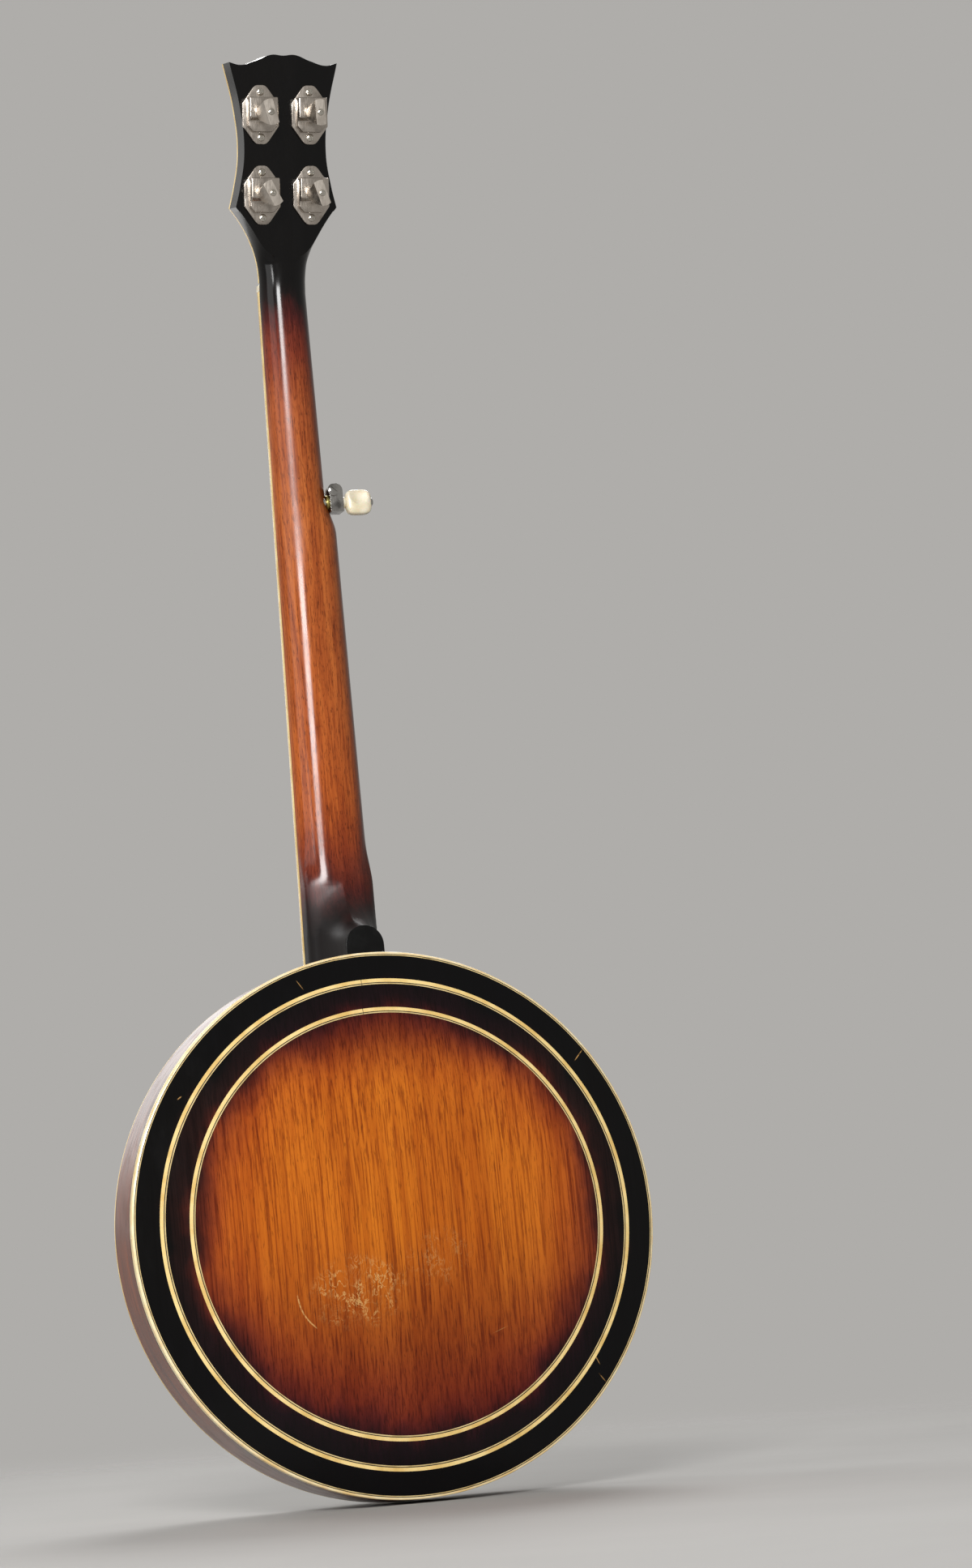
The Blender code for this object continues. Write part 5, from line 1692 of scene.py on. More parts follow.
    def build(self) -> None:
        """Lofts the shaft, cuts the headstock's flat back and joins its slab."""
        line = self.line
        heights = [self.heel_foot + 4 * i for i in range(11)] + [354, 356, 358, 360, 362, 364, 366]
        heights += [367.5, 368.6, 369.3, 369.7, 370.4, 371.4, 372.6, 374, 376, 378]
        heights += [381 + 3 * i for i in range(20)] + [446 + 12 * i for i in range(16)]
        heights += [632 + 3 * i for i in range(13)] + [680 + 12 * i for i in range(11)]
        rings = [self.shaft_ring(z) for z in heights]
        rings += [self.flare_ring(2 + 2.4 * i) for i in range(20)]
        rings.append(self.flare_ring(49.9))
        made = loft(rings)
        normal = (line.headstock().to_3x3() @ Vector((0, 0, -1))).normalized()
        at = line.headstock() @ Vector((0, 0, -line.wood))
        upper = [f for f in made.faces if f.calc_center_median().z > line.foot_z + 3]
        sliced(made, at, normal, upper)
        slab = placed(plate([line.crown_outline(49.5)], -line.wood, 0, 12), line.headstock())
        made = worked(made, slab, Joinery.JOIN)
        made = worked(made, self.clearance())
        piece = make_piece("carved_neck", made, NECK_LACQUER, replaces=["neck"])
        edge = piece.modifiers.new("edges", "BEVEL")
        edge.width, edge.segments, edge.limit_method, edge.angle_limit = 0.5 * MM, 2, "ANGLE", math.radians(28)
        edge.harden_normals = False
        self.heel_cap()
        dress_nodes(PLAIN_STEEL, "truss_rod", "truss_rod_nut")

    def heel_cap(self) -> None:
        """The black cap on the heel's flat back."""
        half, tip, rise, foot = self.heel_half, self.heel_tip, 13.0, self.heel_foot + 2.5
        angles = [i * math.pi / 24 for i in range(25)]
        arch = [(half * math.cos(a), -(tip - rise + rise * math.sin(a))) for a in angles]
        outline = [(half, -foot), *arch, (-half, -foot)]
        made = eased(plate([outline], 12.0, 14.2), 0.45, 3)
        placed(made, UPRIGHT)
        make_piece("heel_cap_arch", made, BLACK_PLASTIC, replaces=["heel_cap"])


@dataclass(frozen=True)
class Fingerboard:
    """The bound board with frets, pearl inlays and side dots, and both nuts."""

    line: NeckLine = LINE
    binding: float = 1.6
    binding_height: float = 5.0
    frets: int = 22
    fret_width: float = 2.2
    fret_height: float = 1.1
    marked: tuple[int, ...] = (3, 5, 7, 10, 12, 15, 17, 19)

    def heights(self) -> list[float]:
        """The heights at which the board's edges are drawn."""
        return [self.line.board_end, 400, 500, 600, *range(634, 668, 3), 700, 760, self.line.nut_z]

    def strip(self, left: Outline, right: Outline, depth: float) -> BMesh:
        """Makes a strip of the board under its playing face.

        Args:
            left: The strip's edge towards -X at a height.
            right: The edge towards +X at a height.
            depth: How deep it goes.

        Returns:
            A closed mesh.
        """
        rings = []
        for z in self.heights():
            top = self.line.board_top(z)
            low, start, end = top - depth, left(z), right(z)
            rings.append([(start, low, z), (end, low, z), (end, top, z), (start, top, z)])
        return loft(rings)

    def board(self) -> None:
        """The rosewood board between its two bindings."""
        line, wide = self.line, self.binding
        sides = {
            "treble": (line.treble_edge, lambda z: line.treble_edge(z) + wide),
            "bass": (lambda z: line.bass_edge(z) - wide, line.bass_edge),
        }
        made = self.strip(sides["treble"][1], sides["bass"][0], self.binding_height)
        make_piece("rosewood_board", made, ROSEWOOD, replaces=["fingerboard"])
        for side, (left, right) in sides.items():
            made = eased(self.strip(left, right, self.binding_height), 0.25)
            make_piece(f"board_binding_{side}", made, AGED_CELLULOID)

    def fret_wires(self) -> None:
        """Each fret as its own crowned wire."""
        line, half = self.line, self.fret_width / 2
        arc = [i * math.pi / 10 for i in range(11)]
        for number in range(1, self.frets + 1):
            z = line.fret_z(number)
            top, left, right = line.board_top(z), line.treble_edge(z) + 0.4, line.bass_edge(z) - 0.4
            section = [(half * math.cos(a), self.fret_height * math.sin(a)) for a in arc]
            section += [(-half, -0.4), (half, -0.4)]
            made = loft([[(x, top + b, z + a) for a, b in section] for x in (left, right)])
            make_piece(f"fret_{number:02d}", made, POLISHED_NICKEL)

    def inlays(self) -> None:
        """Pearl diamonds on the board, and black dots on the binding beside them."""
        line = self.line
        for number in self.marked:
            z = (line.fret_z(number) + line.fret_z(number - 1)) / 2
            top, centre = line.board_top(z), (line.treble_edge(z) + line.bass_edge(z)) / 2
            tall = min(7.0, (line.fret_z(number - 1) - line.fret_z(number)) * 0.3)
            spots = (-9.0, 9.0) if number == 12 else (0.0,)
            shapes = [plate([[(x + 4.2, 0), (x, tall), (x - 4.2, 0), (x, -tall)]], -0.5, 0.06) for x in spots]
            slope = Matrix.Rotation(-math.pi / 2 + math.atan(line.board_rise / line.board_run), 4, "X")
            made = placed(merged(*shapes), Matrix.Translation((centre, top, z)) @ slope)
            make_piece(f"board_inlay_{number:02d}", made, PEARL)
            start, end = (line.bass_edge(z) - 0.5, top - 2.2, z), (line.bass_edge(z) + 0.05, top - 2.2, z)
            make_piece(f"side_dot_{number:02d}", bar(start, end, 1.0, 20), BLACK_PLASTIC)

    def nuts(self) -> None:
        """The bone nut with four slots, and the small nut of the fifth string."""
        line = self.line
        low, top = line.board_top(line.nut_z) - line.board_thickness, line.strings_at_nut - 0.2
        start, end = line.nut_z + 0.2, line.nut_z + line.nut_length
        left, right = line.nut_centre - line.nut_half, line.nut_centre + line.nut_half
        section = [(low, start), (low, end), (top - 1.6, end), (top - 0.4, start + 2.2), (top, start)]
        made = eased(loft([[(x, y, z) for y, z in section] for x in (left, right)]), 0.3)
        for index in range(4):
            x = line.nut_centre + (index - 1.5) * line.string_gap
            slot = bar((x, line.strings_at_nut - 0.1, line.nut_z - 1), (x, 57.8, line.nut_z + 6), 0.35, 12)
            made = worked(made, slot)
        make_piece("bone_nut", made, BONE, replaces=["nut"])
        x, z = line.fifth_nut_x, line.fifth_nut_z()
        foot = line.board_top(z)
        profile = [(0, 1.9), (0.9, 1.85), (1.35, 1.5), (1.6, 0.6), (1.6, -0.3), (0, -0.3)]
        made = placed(lathe(profile, 32, ring=False), spun_frame((x, foot, z)))
        made = worked(made, bar((x, foot + 2.0, z - 3), (x, foot + 2.0, z + 3), 0.3, 10))
        make_piece("fifth_nut_bone", made, BONE, replaces=["fifth_string_nut"])

    def build(self) -> None:
        """Builds and dresses the board."""
        self.board()
        self.fret_wires()
        self.inlays()
        self.nuts()


@dataclass(frozen=True)
class HeadstockFace:
    """The black overlay with its cream edge, a pearl inlay and the cover over the truss rod's nut."""

    line: NeckLine = LINE
    foot: float = 2.6
    binding: float = 1.5

    def outline(self) -> list[Knot]:
        """Draws the overlay's outline, from the nut to the crown and back.

        Returns:
            Its knots, in the headstock's frame.
        """
        start: list[Knot] = [(self.line.flare(self.foot), self.foot, "VECTOR")]
        start += [(self.line.flare(s), s, "AUTO") for s in (12.0, 22.0)]
        upper = self.line.crown_outline(32.0)
        return start + upper + [(-x, y, kind) for x, y, kind in reversed(start)]

    def sheet(self) -> tuple[BMesh, BMesh]:
        """Parts the outline's area into a field and a strip round it.

        Returns:
            The inner field and the outer strip, both flat.
        """
        sheets = []
        for keep_strip in (False, True):
            made = plate([self.outline()], 0, 1, 10)
            flat = [f for f in made.faces if f.normal.z < 0.5]
            bmesh.ops.delete(made, geom=flat, context="FACES")
            bmesh.ops.dissolve_limit(
                made, angle_limit=0.01, use_dissolve_boundaries=False, verts=made.verts, edges=made.edges
            )
            strip = bmesh.ops.inset_region(
                made, faces=made.faces, thickness=self.binding, use_even_offset=True, use_boundary=True
            )["faces"]
            inner = [f for f in made.faces if f not in set(strip)]
            bmesh.ops.delete(made, geom=inner if keep_strip else strip, context="FACES")
            sheets.append(made)
        return sheets[0], sheets[1]

    def thick(self, sheet: BMesh, low: float, high: float) -> BMesh:
        """Makes a flat sheet a plate between two heights.

        Args:
            sheet: The sheet.
            low: Height of the plate's back.
            high: Height of its front.

        Returns:
            The same mesh.
        """
        for vert in sheet.verts:
            vert.co.z = low
        grown = bmesh.ops.extrude_face_region(sheet, geom=sheet.faces[:])
        verts = [g for g in grown["geom"] if isinstance(g, BMVert)]
        bmesh.ops.translate(sheet, verts=verts, vec=(0, 0, high - low))
        bmesh.ops.recalc_face_normals(sheet, faces=sheet.faces)
        return sheet

    def build(self) -> None:
        """Builds and dresses the headstock's face."""
        place, top = self.line.headstock(), self.line.overlay + 0.3
        field_sheet, strip_sheet = self.sheet()
        made = placed(self.thick(field_sheet, 0.0, top), place)
        make_piece("headstock_face", made, BLACK_LACQUER, replaces=["headstock_overlay"])
        make_piece("headstock_binding", placed(self.thick(strip_sheet, 0.0, top), place), AGED_CELLULOID)
        shapes = []
        for s, wide, tall in ((86.5, 7.5, 11.0), (70.0, 3.6, 4.4), (103.0, 3.6, 4.4), (131.0, 6.5, 6.5)):
            shapes.append(plate([[(wide, s), (0, s + tall), (-wide, s), (0, s - tall)]], top - 0.5, top + 0.05))
        make_piece("headstock_inlay", placed(merged(*shapes), place), PEARL)
        self.cover(place, top)

    def cover(self, place: Matrix, top: float) -> None:
        """Makes the bell-shaped cover with a pale edge line and two screws.

        Args:
            place: The headstock's frame.
            top: Height of the overlay's face in it.
        """
        bell = [(8.5, 6, "VECTOR"), (8.0, 16, "AUTO"), (6.6, 30, "AUTO"), (0, 40, "AUTO")]
        bell += [(-x, y, kind) for x, y, kind in reversed(bell[:-1])]
        inner = [(x * 0.86, 6 + (y - 6) * 0.94 + 1.0, kind) for x, y, kind in bell]
        made = eased(placed(plate([bell], top, top + 1.0, 12), place), 0.2)
        make_piece("rod_cover_edge", made, AGED_CELLULOID)
        made = eased(placed(plate([inner], top + 0.6, top + 1.6, 12), place), 0.25)
        make_piece("rod_cover", made, BLACK_PLASTIC, replaces=["truss_rod_cover"])
        for number, s in enumerate((10.0, 34.0), 1):
            made = placed(cross_screw(1.5, 0.5), place @ Matrix.Translation((0, s, top + 1.6)))
            make_piece(f"rod_cover_screw_{number}", made, POLISHED_NICKEL)


@dataclass(frozen=True)
class RearTuner:
    """A geared tuner: plate and stepped case behind the headstock, a button, and a post at the front."""

    name: str
    x: float
    s: float
    wing_turn: float
    string_wire: float
    line: NeckLine = LINE
    plate_thick: float = 2.0
    case_half: float = 9.8
    case_top: float = 11.0
    case_depth: float = 10.2
    foot_depth: float = 7.0
    disc: float = 8.6
    disc_foot: float = 5.6
    wing_half: float = 3.3

    def place(self) -> Matrix:
        """The tuner's frame, on the headstock's wood at its front face."""
        return self.line.headstock() @ Matrix.Translation((self.x, self.s, 0))

    def housing(self) -> None:
        """Plate, case and collar, with the two plate screws."""
        back = -self.line.wood
        quarter = [(12.5, 7.5), (5.2, 17.5), (3.6, 19.0), (2.0, 19.5)]
        right = [(x, -y) for x, y in reversed(quarter)] + quarter
        outline = right + [(-x, y) for x, y in reversed(right)]
        made = eased(plate([outline], back - self.plate_thick, back), 0.5, 3)
        node = f"tuner_housing_{self.name}"
        place = self.place()
        make_piece(f"tuner_plate_{self.name}", placed(made, place), SATIN_NICKEL, replaces=[node])
        make_piece(f"tuner_case_{self.name}", placed(self.case(back), place), SATIN_NICKEL)
        bush = [(3.2, 6.0), (4.4, 5.7), (4.6, 4.9), (6.4, 4.4), (6.8, 3.6), (6.8, 2.4), (3.2, 2.4)]
        made = placed(lathe(bush, 48), place)
        make_piece(f"tuner_collar_{self.name}", made, SATIN_NICKEL)
        for side, y in (("upper", 15.0), ("lower", -15.0)):
            screw = placed(cross_screw(2.6, 1.1), UNDERSIDE)
            placed(screw, place @ Matrix.Translation((0, y, back - self.plate_thick)))
            make_piece(f"plate_screw_{side}_{self.name}", screw, POLISHED_NICKEL, slot=SATIN)

    def case(self, back: float) -> BMesh:
        """Makes the stepped case: a high part, and a lower foot with cut corners.

        Args:
            back: Height of the headstock's back in the tuner's frame.

        Returns:
            A closed mesh.
        """
        low, high, foot = back - self.plate_thick + 0.2, back - self.case_depth, back - self.foot_depth
        half = self.case_half
        section = [(self.case_top, low), (self.case_top, high), (-2.3, high), (-4.4, foot)]
        section += [(-11.8, foot), (-11.8, low)]
        made = loft([[(x, y, z) for y, z in section] for x in (-half, half)])
        for side in (-1, 1):
            sliced(made, (side * half, -8.0, 0), (side * 0.745, -0.667, 0))
        return eased(made, 0.8, 4, 20)

    def button(self) -> None:
        """A round foot that flares to a long wing and thins to its end, with a small domed screw there."""
        foot, end = -self.line.wood - 11.0, -self.line.wood - 26.0
        made = bar((0, 0, end), (0, 0, foot), self.disc, 64, self.disc_foot)
        lean = (self.disc_foot - 0.2 - self.wing_half) / (foot - end)
        for side in (-1, 1):
            sliced(made, (side * self.wing_half, 0, end), (side, 0, -lean))
        made = eased(made, 0.7, 4, 35)
        shaft = bar((0, 0, foot + 0.2), (0, 0, -21.0), 3.0, 32)
        turned = self.place() @ Matrix.Rotation(math.radians(self.wing_turn), 4, "Z")
        node = f"tuner_button_{self.name}"
        made = placed(merged(made, shaft), turned)
        make_piece(f"{node}_wing", made, BRIGHTENED_BUTTON_NICKEL, node, [node])
        screw = placed(cross_screw(2.3, 1.0, 1), UNDERSIDE)
        placed(screw, turned @ Matrix.Translation((0, 0, end)))
        make_piece(f"{node}_screw", screw, POLISHED_NICKEL, node, slot=SATIN)

    def post(self) -> None:
        """The turned post with its waist, the cross hole and the string wound on it."""
        profile = [(0, 25), (1.6, 24.95), (2.5, 24.5), (3.0, 23.4), (3.0, 20), (2.7, 18.8), (2.3, 17.8)]
        profile += [(2.3, 14.4), (2.7, 12.6), (3.0, 11.4), (3.0, -16.5), (0, -16.5)]
        made = lathe(profile, 40, ring=False)
        made = worked(made, bar((-6, 0, 16.8), (6, 0, 16.8), 0.6, 12))
        node = f"tuner_post_{self.name}"
        place = self.place()
        make_piece(f"{node}_turned", placed(made, place), POLISHED_NICKEL, node, [node], SATIN)
        wound = placed(coil(2.3, self.string_wire, 4.5, 2.4 * self.string_wire, 14.7), place)
        make_piece(f"{node}_winding", wound, PLAIN_STEEL, node)

    def build(self) -> None:
        """Builds and dresses the tuner."""
        self.housing()
        self.button()
        self.post()


@dataclass(frozen=True)
class FifthPeg:
    """The short string's geared peg beside the neck."""

    post_x: float = 17.6
    post_z: float = 665.4
    worm_y: float = 49.0
    worm_z: float = 657.8
    body_low: float = 14.9
    body_high: float = 24.0
    half_depth: float = 5.4
    foot_z: float = 651.0

    def housing(self) -> None:
        """The rounded chrome case, its steel shank, and the brass collar at the neck."""
        middle = (self.body_low + self.body_high) / 2
        half = (self.body_high - self.body_low) / 2
        angles = [i * math.pi / 16 for i in range(17)]
        arc = [(middle + half * math.cos(a), -self.post_z - half * math.sin(a)) for a in angles]
        outline = [(self.body_high, -self.foot_z), *arc, (self.body_low, -self.foot_z)]
        made = eased(plate([outline], self.worm_y - self.half_depth, self.worm_y + self.half_depth), 0.9, 4)
        placed(made, UPRIGHT)
        make_piece("fifth_peg_case", made, WORN_CHROME, replaces=["fifth_peg_housing"])
        collar = [(3.0, 0), (4.7, 0.2), (4.9, 0.8), (4.9, 1.9), (4.4, 2.3), (3.0, 2.4)]
        made = placed(lathe(collar, 48), lying_frame((12.7, self.worm_y, self.worm_z)))
        make_piece("fifth_peg_collar", made, BRASS)
        shank = bar((6, self.worm_y, self.worm_z), (15.5, self.worm_y, self.worm_z), 3.0)
        make_piece("fifth_peg_shank", shank, PLAIN_STEEL, slot=NICKEL)

    def post(self) -> None:
        """The post through the case, with the slotted head that shows at the back."""
        y, back = self.worm_y, self.worm_y - self.half_depth
        profile = [(0, 67.5), (1.4, 67.4), (2.0, 66.9), (2.0, 65.6), (1.4, 64.8), (1.4, 63.4), (2.0, 62.4)]
        profile += [(2.0, back - 0.3), (4.0, back - 0.3), (4.1, back - 1.0), (3.4, back - 1.7)]
        profile += [(2.0, back - 2.0), (0, back - 2.0)]
        made = lathe(profile, 48, ring=False)
        made = worked(made, block((-2.6, -0.45, back - 3), (2.6, 0.45, back - 1.3)))
        turn = Matrix.Rotation(0.7, 4, "Z")
        placed(made, spun_frame((self.post_x, 0, self.post_z)) @ turn)
        node = "fifth_peg_post"
        make_piece("fifth_peg_screw_post", made, WORN_CHROME, node, [node])
        wound = placed(coil(1.4, 0.13, 3.5, 0.34, 63.5), spun_frame((self.post_x, 0, self.post_z)))
        make_piece("fifth_peg_winding", wound, PLAIN_STEEL, node)

    def button(self) -> None:
        """The cream grip, a soft block with a dish on each side, on its ring."""
        centre = Vector((35.7, self.worm_y, self.worm_z))
        reach = Vector((8.9, 4.6, 8.5))
        made = bmesh.new()
        bmesh.ops.create_icosphere(made, subdivisions=5, radius=1)
        power = 3.6
        for vert in made.verts:
            direction = vert.co.normalized()
            size = sum(abs(direction[i]) ** power for i in range(3)) ** (1 / power)
            x, y, z = (direction[i] / size * reach[i] for i in range(3))
            away = min(math.hypot(x + 0.2, z - 4.4) / 6.6, 1.0)
            dish = 2.1 * (1 - away**2) * math.copysign(1, y) * min(abs(y) / 2.5, 1)
            vert.co = Vector((x, y - dish, z)) + centre
        node = "fifth_peg_button"
        make_piece("fifth_peg_grip", made, CREAM_PLASTIC, node, [node])
        ring = [(0, 0), (3.4, 0), (3.8, 0.5), (3.8, 1.6), (3.1, 2.2), (2.9, 3.4), (0, 3.6)]
        made = placed(lathe(ring, 40, ring=False), lying_frame((24.4, self.worm_y, self.worm_z)))
        make_piece("fifth_peg_ring", made, CREAM_PLASTIC, node)
        tip = [(0, 44.0), (2.1, 44.0), (2.8, 44.2), (2.8, 45.0), (1.9, 45.8), (0, 46.0)]
        made = placed(lathe(tip, 32, ring=False), lying_frame((0, self.worm_y, self.worm_z)))
        make_piece("fifth_peg_tip", made, WORN_CHROME, node, slot=CREAM_PLASTIC.slot)

    def build(self) -> None:
        """Builds and dresses the peg."""
        self.housing()
        self.post()
        self.button()


@dataclass(frozen=True)
class StringSet:
    """Five strings and the bridge that they cross."""

    line: NeckLine = LINE
    bridge_z: float = 137.0
    bridge_foot: float = 71.5
    bridge_height: float = 15.8
    at_bridge: float = 87.9
    spacing_bridge: float = 10.7
    spacing_tail: float = 8.0
    wires: tuple[float, ...] = (0.13, 0.15, 0.18, 0.27, 0.13)
    tail_y: float = 80.5
    tail_z: float = 71.0

    def bridge(self) -> None:
        """A three-footed maple bridge with an ebony top, slotted for the strings."""
        foot, cap = self.bridge_foot, self.bridge_foot + self.bridge_height - 1.8
        arch = foot + 8.5
        half: list[Knot] = [(4.2, foot, "VECTOR"), (6.5, arch - 1.5, "AUTO"), (10.5, arch, "AUTO")]
        half += [(21, arch, "AUTO"), (26.5, arch - 3, "AUTO"), (29, foot, "VECTOR"), (36, foot, "VECTOR")]
        half += [(34, foot + 6, "AUTO"), (27, cap - 1, "AUTO"), (25.5, cap, "VECTOR")]
        outline = half + [(-x, y, kind) for x, y, kind in reversed(half)]
        place = Matrix.Translation((0, 0, self.bridge_z))
        made = eased(placed(plate([outline], -1.6, 1.6, 6), place), 0.3)
        make_piece("bridge_body", made, BRIDGE_MAPLE, replaces=["bridge"])
        top = block((-25.5, cap, self.bridge_z - 1.2), (25.5, self.at_bridge - 0.1, self.bridge_z + 1.2))
        top = eased(top, 0.35)
        for index in range(5):
            x = (index - 2) * self.spacing_bridge
            slot = bar((x, self.at_bridge, self.bridge_z - 4), (x, self.at_bridge, self.bridge_z + 4), 0.3, 10)
            top = worked(top, slot)
        make_piece("bridge_top", top, EBONY)

    def strings(self, tuners: Sequence[RearTuner]) -> None:
        """Makes each string, from the tailpiece over the bridge and the nut to its post.

        Args:
            tuners: The tuners of the four long strings.
        """
        line = self.line
        for index in range(5):
            wire = self.wires[index]
            start = ((index - 2) * self.spacing_tail, self.tail_y, self.tail_z)
            over = ((index - 2) * self.spacing_bridge, self.at_bridge, self.bridge_z)
            if index < 4:
                tuner = tuners[index]
                x = line.nut_centre + (index - 1.5) * line.string_gap
                inward = -math.copysign(2.3 + 0.3 + wire, tuner.x)
                post = line.headstock() @ Vector((tuner.x + inward, tuner.s + 3, 16))
                end = [(x, line.strings_at_nut, line.nut_z + 1)]
                end += [(x, line.strings_at_nut - 0.3, line.nut_z + line.nut_length), tuple(post)]
            else:
                z = line.fifth_nut_z()
                end = [(line.fifth_nut_x, line.board_top(z) + 2.3, z), (17.6 - 1.4 - 0.3 - wire, 64.1, 666.4)]
            made = strand([start, over, *end], wire, 2)
            finish = WOUND_STEEL if index == 3 else PLAIN_STEEL
            name = f"string_{index + 1}"
            make_piece(f"{name}_wire", made, finish, replaces=[name])

    def build(self, tuners: Sequence[RearTuner]) -> None:
        """Builds and dresses bridge and strings."""
        self.bridge()
        self.strings(tuners)


@dataclass(frozen=True)
class Tailpiece:
    """The hinged tailpiece on its hanger, and the armrest."""

    hinge_y: float = 81.6
    hinge_z: float = 39.5
    cover_half: float = 20.5
    cover_back: float = 83.7
    cover_front: float = 85.2
    cover_top: float = 80.0
    armrest_angle: float = 135.0
    armrest_half: float = 23.0

    def cover(self) -> None:
        """The cover: a rounded plate, its web and its knuckle."""
        low = self.hinge_z + 3
        half, top = self.cover_half, self.cover_top
        outline = [(half, -low, "VECTOR"), (half, -(top - 8), "VECTOR"), (half - 5, -(top - 1), "AUTO")]
        outline += [(0, -top, "AUTO"), (-half + 5, -(top - 1), "AUTO"), (-half, -(top - 8), "VECTOR")]
        outline += [(-half, -low, "VECTOR")]
        made = eased(plate([outline], self.cover_back, self.cover_front, 10), 0.4, 3)
        placed(made, UPRIGHT)
        web_low, web_high = self.hinge_z - 0.4, self.hinge_z + 4
        web = block((-9.6, self.hinge_y + 0.8, web_low), (9.6, self.cover_front - 0.3, web_high))
        knuckle = placed(
            lathe([(2.1, -9.6), (2.1, 9.6), (1.25, 9.6), (1.25, -9.6)], 40),
            lying_frame((0, self.hinge_y, self.hinge_z)),
        )
        body = "tailpiece_cover"
        made = merged(made, eased(web, 0.2), knuckle)
        make_piece("tail_cover_plate", made, POLISHED_NICKEL, body, [body])

    def armrest(self) -> None:
        """The bent rest over the hoop, rolled at its edges."""
        top = [(139.5, 83.6), (143, 83.95), (147, 84.0), (151, 83.5), (154, 82.6), (157.5, 80.9), (160, 79.2)]
        top += [(162, 77.0), (163.5, 74.5)]
        rings = []
        steps = 40
        for i in range(steps + 1):
            share = 2 * i / steps - 1
            turn = around_pot(math.radians(self.armrest_angle + self.armrest_half * share))
            ease = 1 - 0.25 * share**6
            points = [(139.5 + (r - 139.5) * ease, y) for r, y in top]
            points += [(r - 0.3, y - 1.5) for r, y in reversed(points)]
            rings.append([tuple(turn @ Vector((r, 0, y))) for r, y in points])
        made = eased(loft(rings), 0.35)
        make_piece("armrest_plate", made, POLISHED_NICKEL, replaces=["armrest"])

    def build(self) -> None:
        """Builds and dresses the tailpiece and the armrest."""
        self.cover()
        self.armrest()
        dress_nodes(POLISHED_NICKEL, "tailpiece_base", "tailpiece_hanger", "armrest_bracket", "tailpiece_screw")
        dress_nodes(PLAIN_STEEL, "tailpiece_hinge_pin")


class Beam(Enum):
    """Where a soft lamp stands: angle from the back towards +X in degrees, height and distance in metres."""

    KEY = (-24.0, 1.15, 2.6)
    WINDOW = (-72.0, 0.95, 2.4)
    RIM = (-179.0, 0.85, 2.5)
    RIM_HIGH = (-162.0, 1.65, 2.5)
    STRIP = (-50.0, 0.5, 2.5)
    FRONT_LEFT = (150.0, 2.3, 1.8)
    FRONT_RIGHT = (-140.0, 2.3, 1.9)


@dataclass(frozen=True)
class Softbox:
    """A soft rectangular lamp."""

    beam: Beam
    width: float
    height: float
    watts: float

    def build(self) -> None:
        """Places the lamp and turns it to the middle of the banjo."""
        angle, up, away = math.radians(self.beam.value[0]), self.beam.value[1], self.beam.value[2]
        data: Light = bpy.data.lights.new(self.beam.name.lower(), "AREA")
        data.shape, data.size, data.size_y, data.energy = "RECTANGLE", self.width, self.height, self.watts
        lamp = linked(data.name, data)
        lamp.location = (away * math.sin(angle), -away * math.cos(angle), up)
        aim = Vector((0, 0.04, 0.42)) - lamp.location
        lamp.rotation_euler = aim.to_track_quat("-Z", "Y").to_euler()
        lamp.visible_camera = False


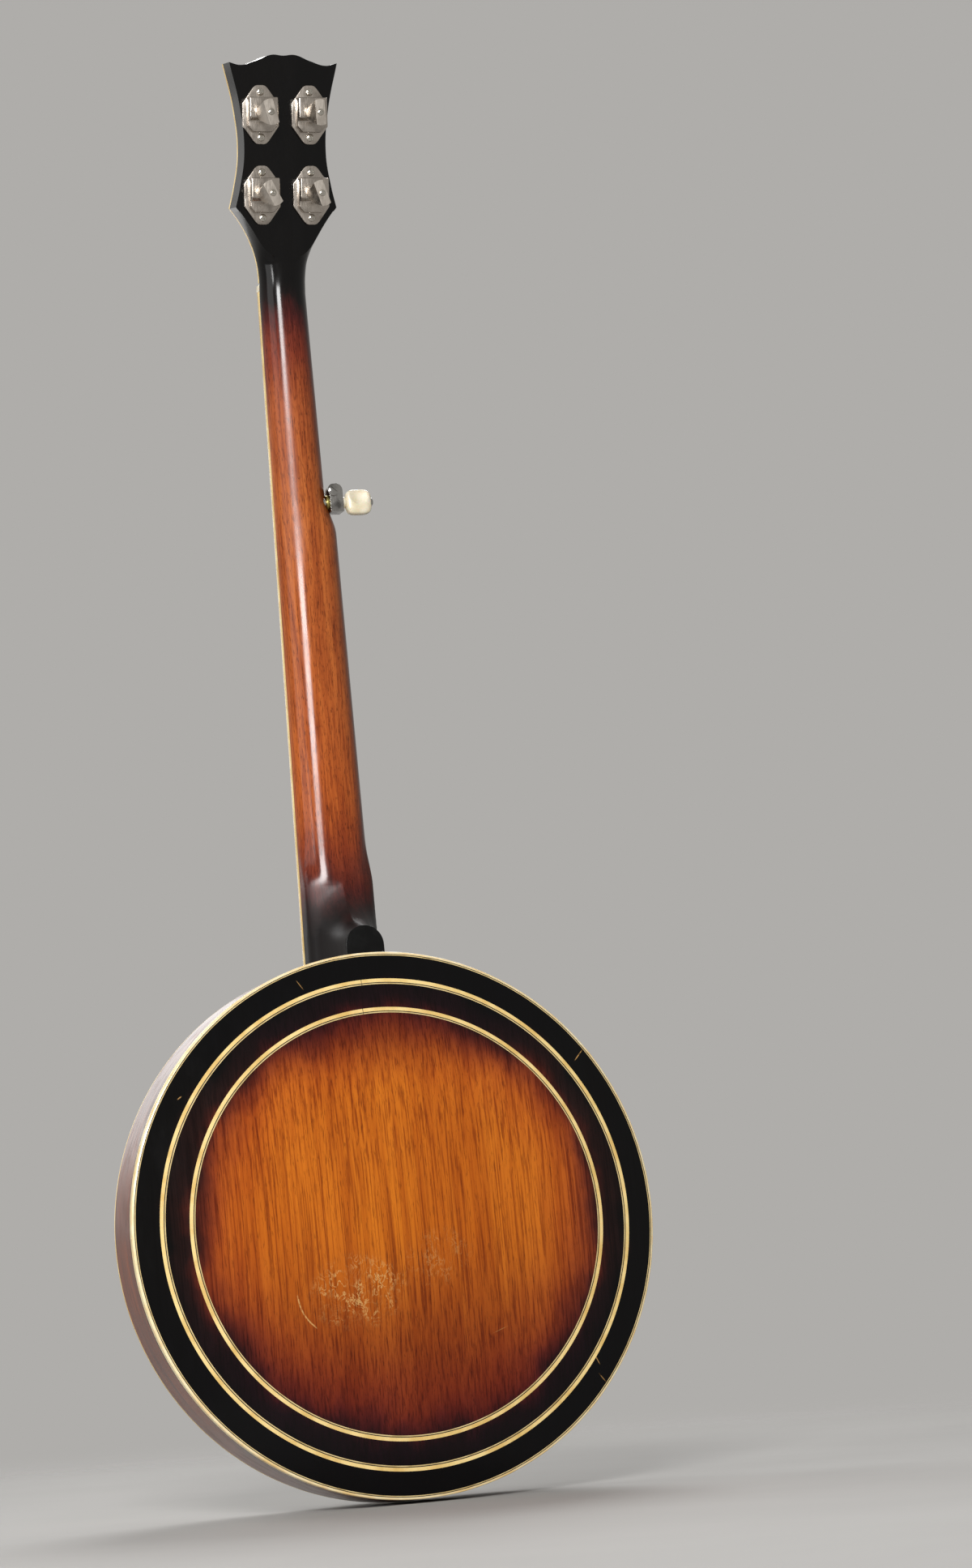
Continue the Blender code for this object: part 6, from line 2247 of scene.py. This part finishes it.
@dataclass(frozen=True)
class Studio:
    """A pale floor that fades into a pale room, soft lamps, and the camera."""

    room: str = "#afadaa"
    fill: float = 0.13
    floor_tilt: float = 3.5
    floor_drop: float = -2.7
    floor_radius: float = 1.6
    lamps: tuple[Softbox, ...] = (
        Softbox(Beam.KEY, 0.75, 0.85, 70.0),
        Softbox(Beam.WINDOW, 1.6, 1.6, 14.0),
        Softbox(Beam.RIM, 1.2, 1.0, 4.4),
        Softbox(Beam.RIM_HIGH, 0.6, 0.6, 0.4),
        Softbox(Beam.STRIP, 0.3, 0.35, 7.0),
        Softbox(Beam.FRONT_LEFT, 1.2, 1.2, 40.0),
        Softbox(Beam.FRONT_RIGHT, 1.2, 1.2, 18.0),
    )

    def floor(self) -> None:
        """A round floor just under the lowest edge, leaning with the banjo and fading out at its rim."""
        made = bmesh.new()
        bmesh.ops.create_circle(made, cap_ends=True, segments=96, radius=self.floor_radius / MM)
        tilt = math.radians(self.floor_tilt)
        normal = Vector((0, -math.sin(tilt), math.cos(tilt)))
        turn = Matrix.Rotation(tilt, 4, "X")
        placed(made, Matrix.Translation(normal * self.floor_drop) @ turn)
        bmesh.ops.scale(made, vec=(MM, MM, MM), verts=made.verts)
        mesh = bpy.data.meshes.new("studio_floor")
        made.to_mesh(mesh)
        made.free()
        mesh.materials.append(self.floor_material())
        floor = linked("studio_floor", mesh)

    def floor_material(self) -> Material:
        """Makes matt pale paint with faint clouds, clear towards its rim and from below.

        Returns:
            The material.
        """
        made = bpy.data.materials.new("pale_floor_paint")
        made.use_nodes = True
        tree = made.node_tree
        shader = tree.nodes["Principled BSDF"]
        paint = layered(tree, linear("#a3a19e"), ((300, 300, 300), (0.3, 0.7), (0.0, 1.0), "#a8a6a3"))
        feed(tree, shader, {"Base Color": paint, "Roughness": 0.8})
        place = add_node(tree, "TexCoord", output="Object")
        away = add_node(tree, "VectorMath", (place,), "Value", operation="LENGTH")
        clear = add_node(tree, "MapRange", (away, 0.45, self.floor_radius * 0.96, 0.0, 1.0), **SOFT_ENDS)
        below = add_node(tree, "NewGeometry", output="Backfacing")
        share = add_node(tree, "Math", (clear, below), operation="MAXIMUM")
        mixed = add_node(tree, "MixShader", (share, shader.outputs[0], add_node(tree, "BsdfTransparent")))
        feed(tree, tree.nodes["Material Output"], {"Surface": mixed})
        return made

    def sky(self) -> None:
        """The room: pale to the camera and in reflections, and a weaker fill for everything else."""
        world = bpy.data.worlds.new("studio_room")
        world.use_nodes = True
        tree = world.node_tree
        seen = add_node(tree, "LightPath", output="Is Camera Ray")
        for kind in ("Is Glossy Ray", "Is Transmission Ray"):
            seen = add_node(tree, "Math", (seen, add_node(tree, "LightPath", output=kind)), operation="MAXIMUM")
        light = {0: seen, 6: (self.fill, self.fill, self.fill, 1.0), 7: linear(self.room)}
        room = add_node(tree, "Mix", light, 2, **Blend.COVER.value)
        feed(tree, tree.nodes["Background"], {"Color": room, "Strength": 1.0})
        bpy.context.scene.world = world

    def camera(self) -> None:
        """The camera at the photograph's place, which comes from matching the banjo's outlines."""
        data = bpy.data.cameras.new("camera")
        focal_pixels, long_side, sensor = 6000.0, 1935.0, 36.0
        data.sensor_width, data.lens = sensor, focal_pixels * sensor / long_side
        data.clip_end = 50.0
        camera = linked("camera", data)
        across = Vector((0.94059, -0.325784, -0.095686))
        up = Vector((0.038736, -0.177012, 0.983446))
        towards = Vector((-0.337329, -0.928726, -0.153877))
        axes = Matrix((across, up, towards)).transposed().to_4x4()
        camera.matrix_world = Matrix.Translation((-0.98246, -2.94983, -0.03233)) @ axes
        bpy.context.scene.camera = camera

    def build(self) -> None:
        """Builds the whole studio."""
        self.floor()
        self.sky()
        for lamp in self.lamps:
            lamp.build()
        self.camera()
        bpy.context.scene.view_settings.view_transform = "Standard"


def main() -> None:
    """Builds the banjo and its studio in order."""
    logging.basicConfig(level=logging.INFO, format="%(message)s")
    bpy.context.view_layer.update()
    Studio().build()
    Resonator().build()
    Pot().build()
    Neck().build()
    Fingerboard().build()
    HeadstockFace().build()
    wires = StringSet().wires
    tuners = (
        RearTuner("lower_treble", 17.0, 60.0, -29.0, wires[0]),
        RearTuner("upper_treble", 17.0, 113.0, -16.0, wires[1]),
        RearTuner("upper_bass", -17.0, 113.0, -4.0, wires[2]),
        RearTuner("lower_bass", -17.0, 60.0, -20.0, wires[3]),
    )
    for tuner in tuners:
        tuner.build()
    FifthPeg().build()
    StringSet().build(tuners)
    Tailpiece().build()


if __name__ == "__main__":
    main()
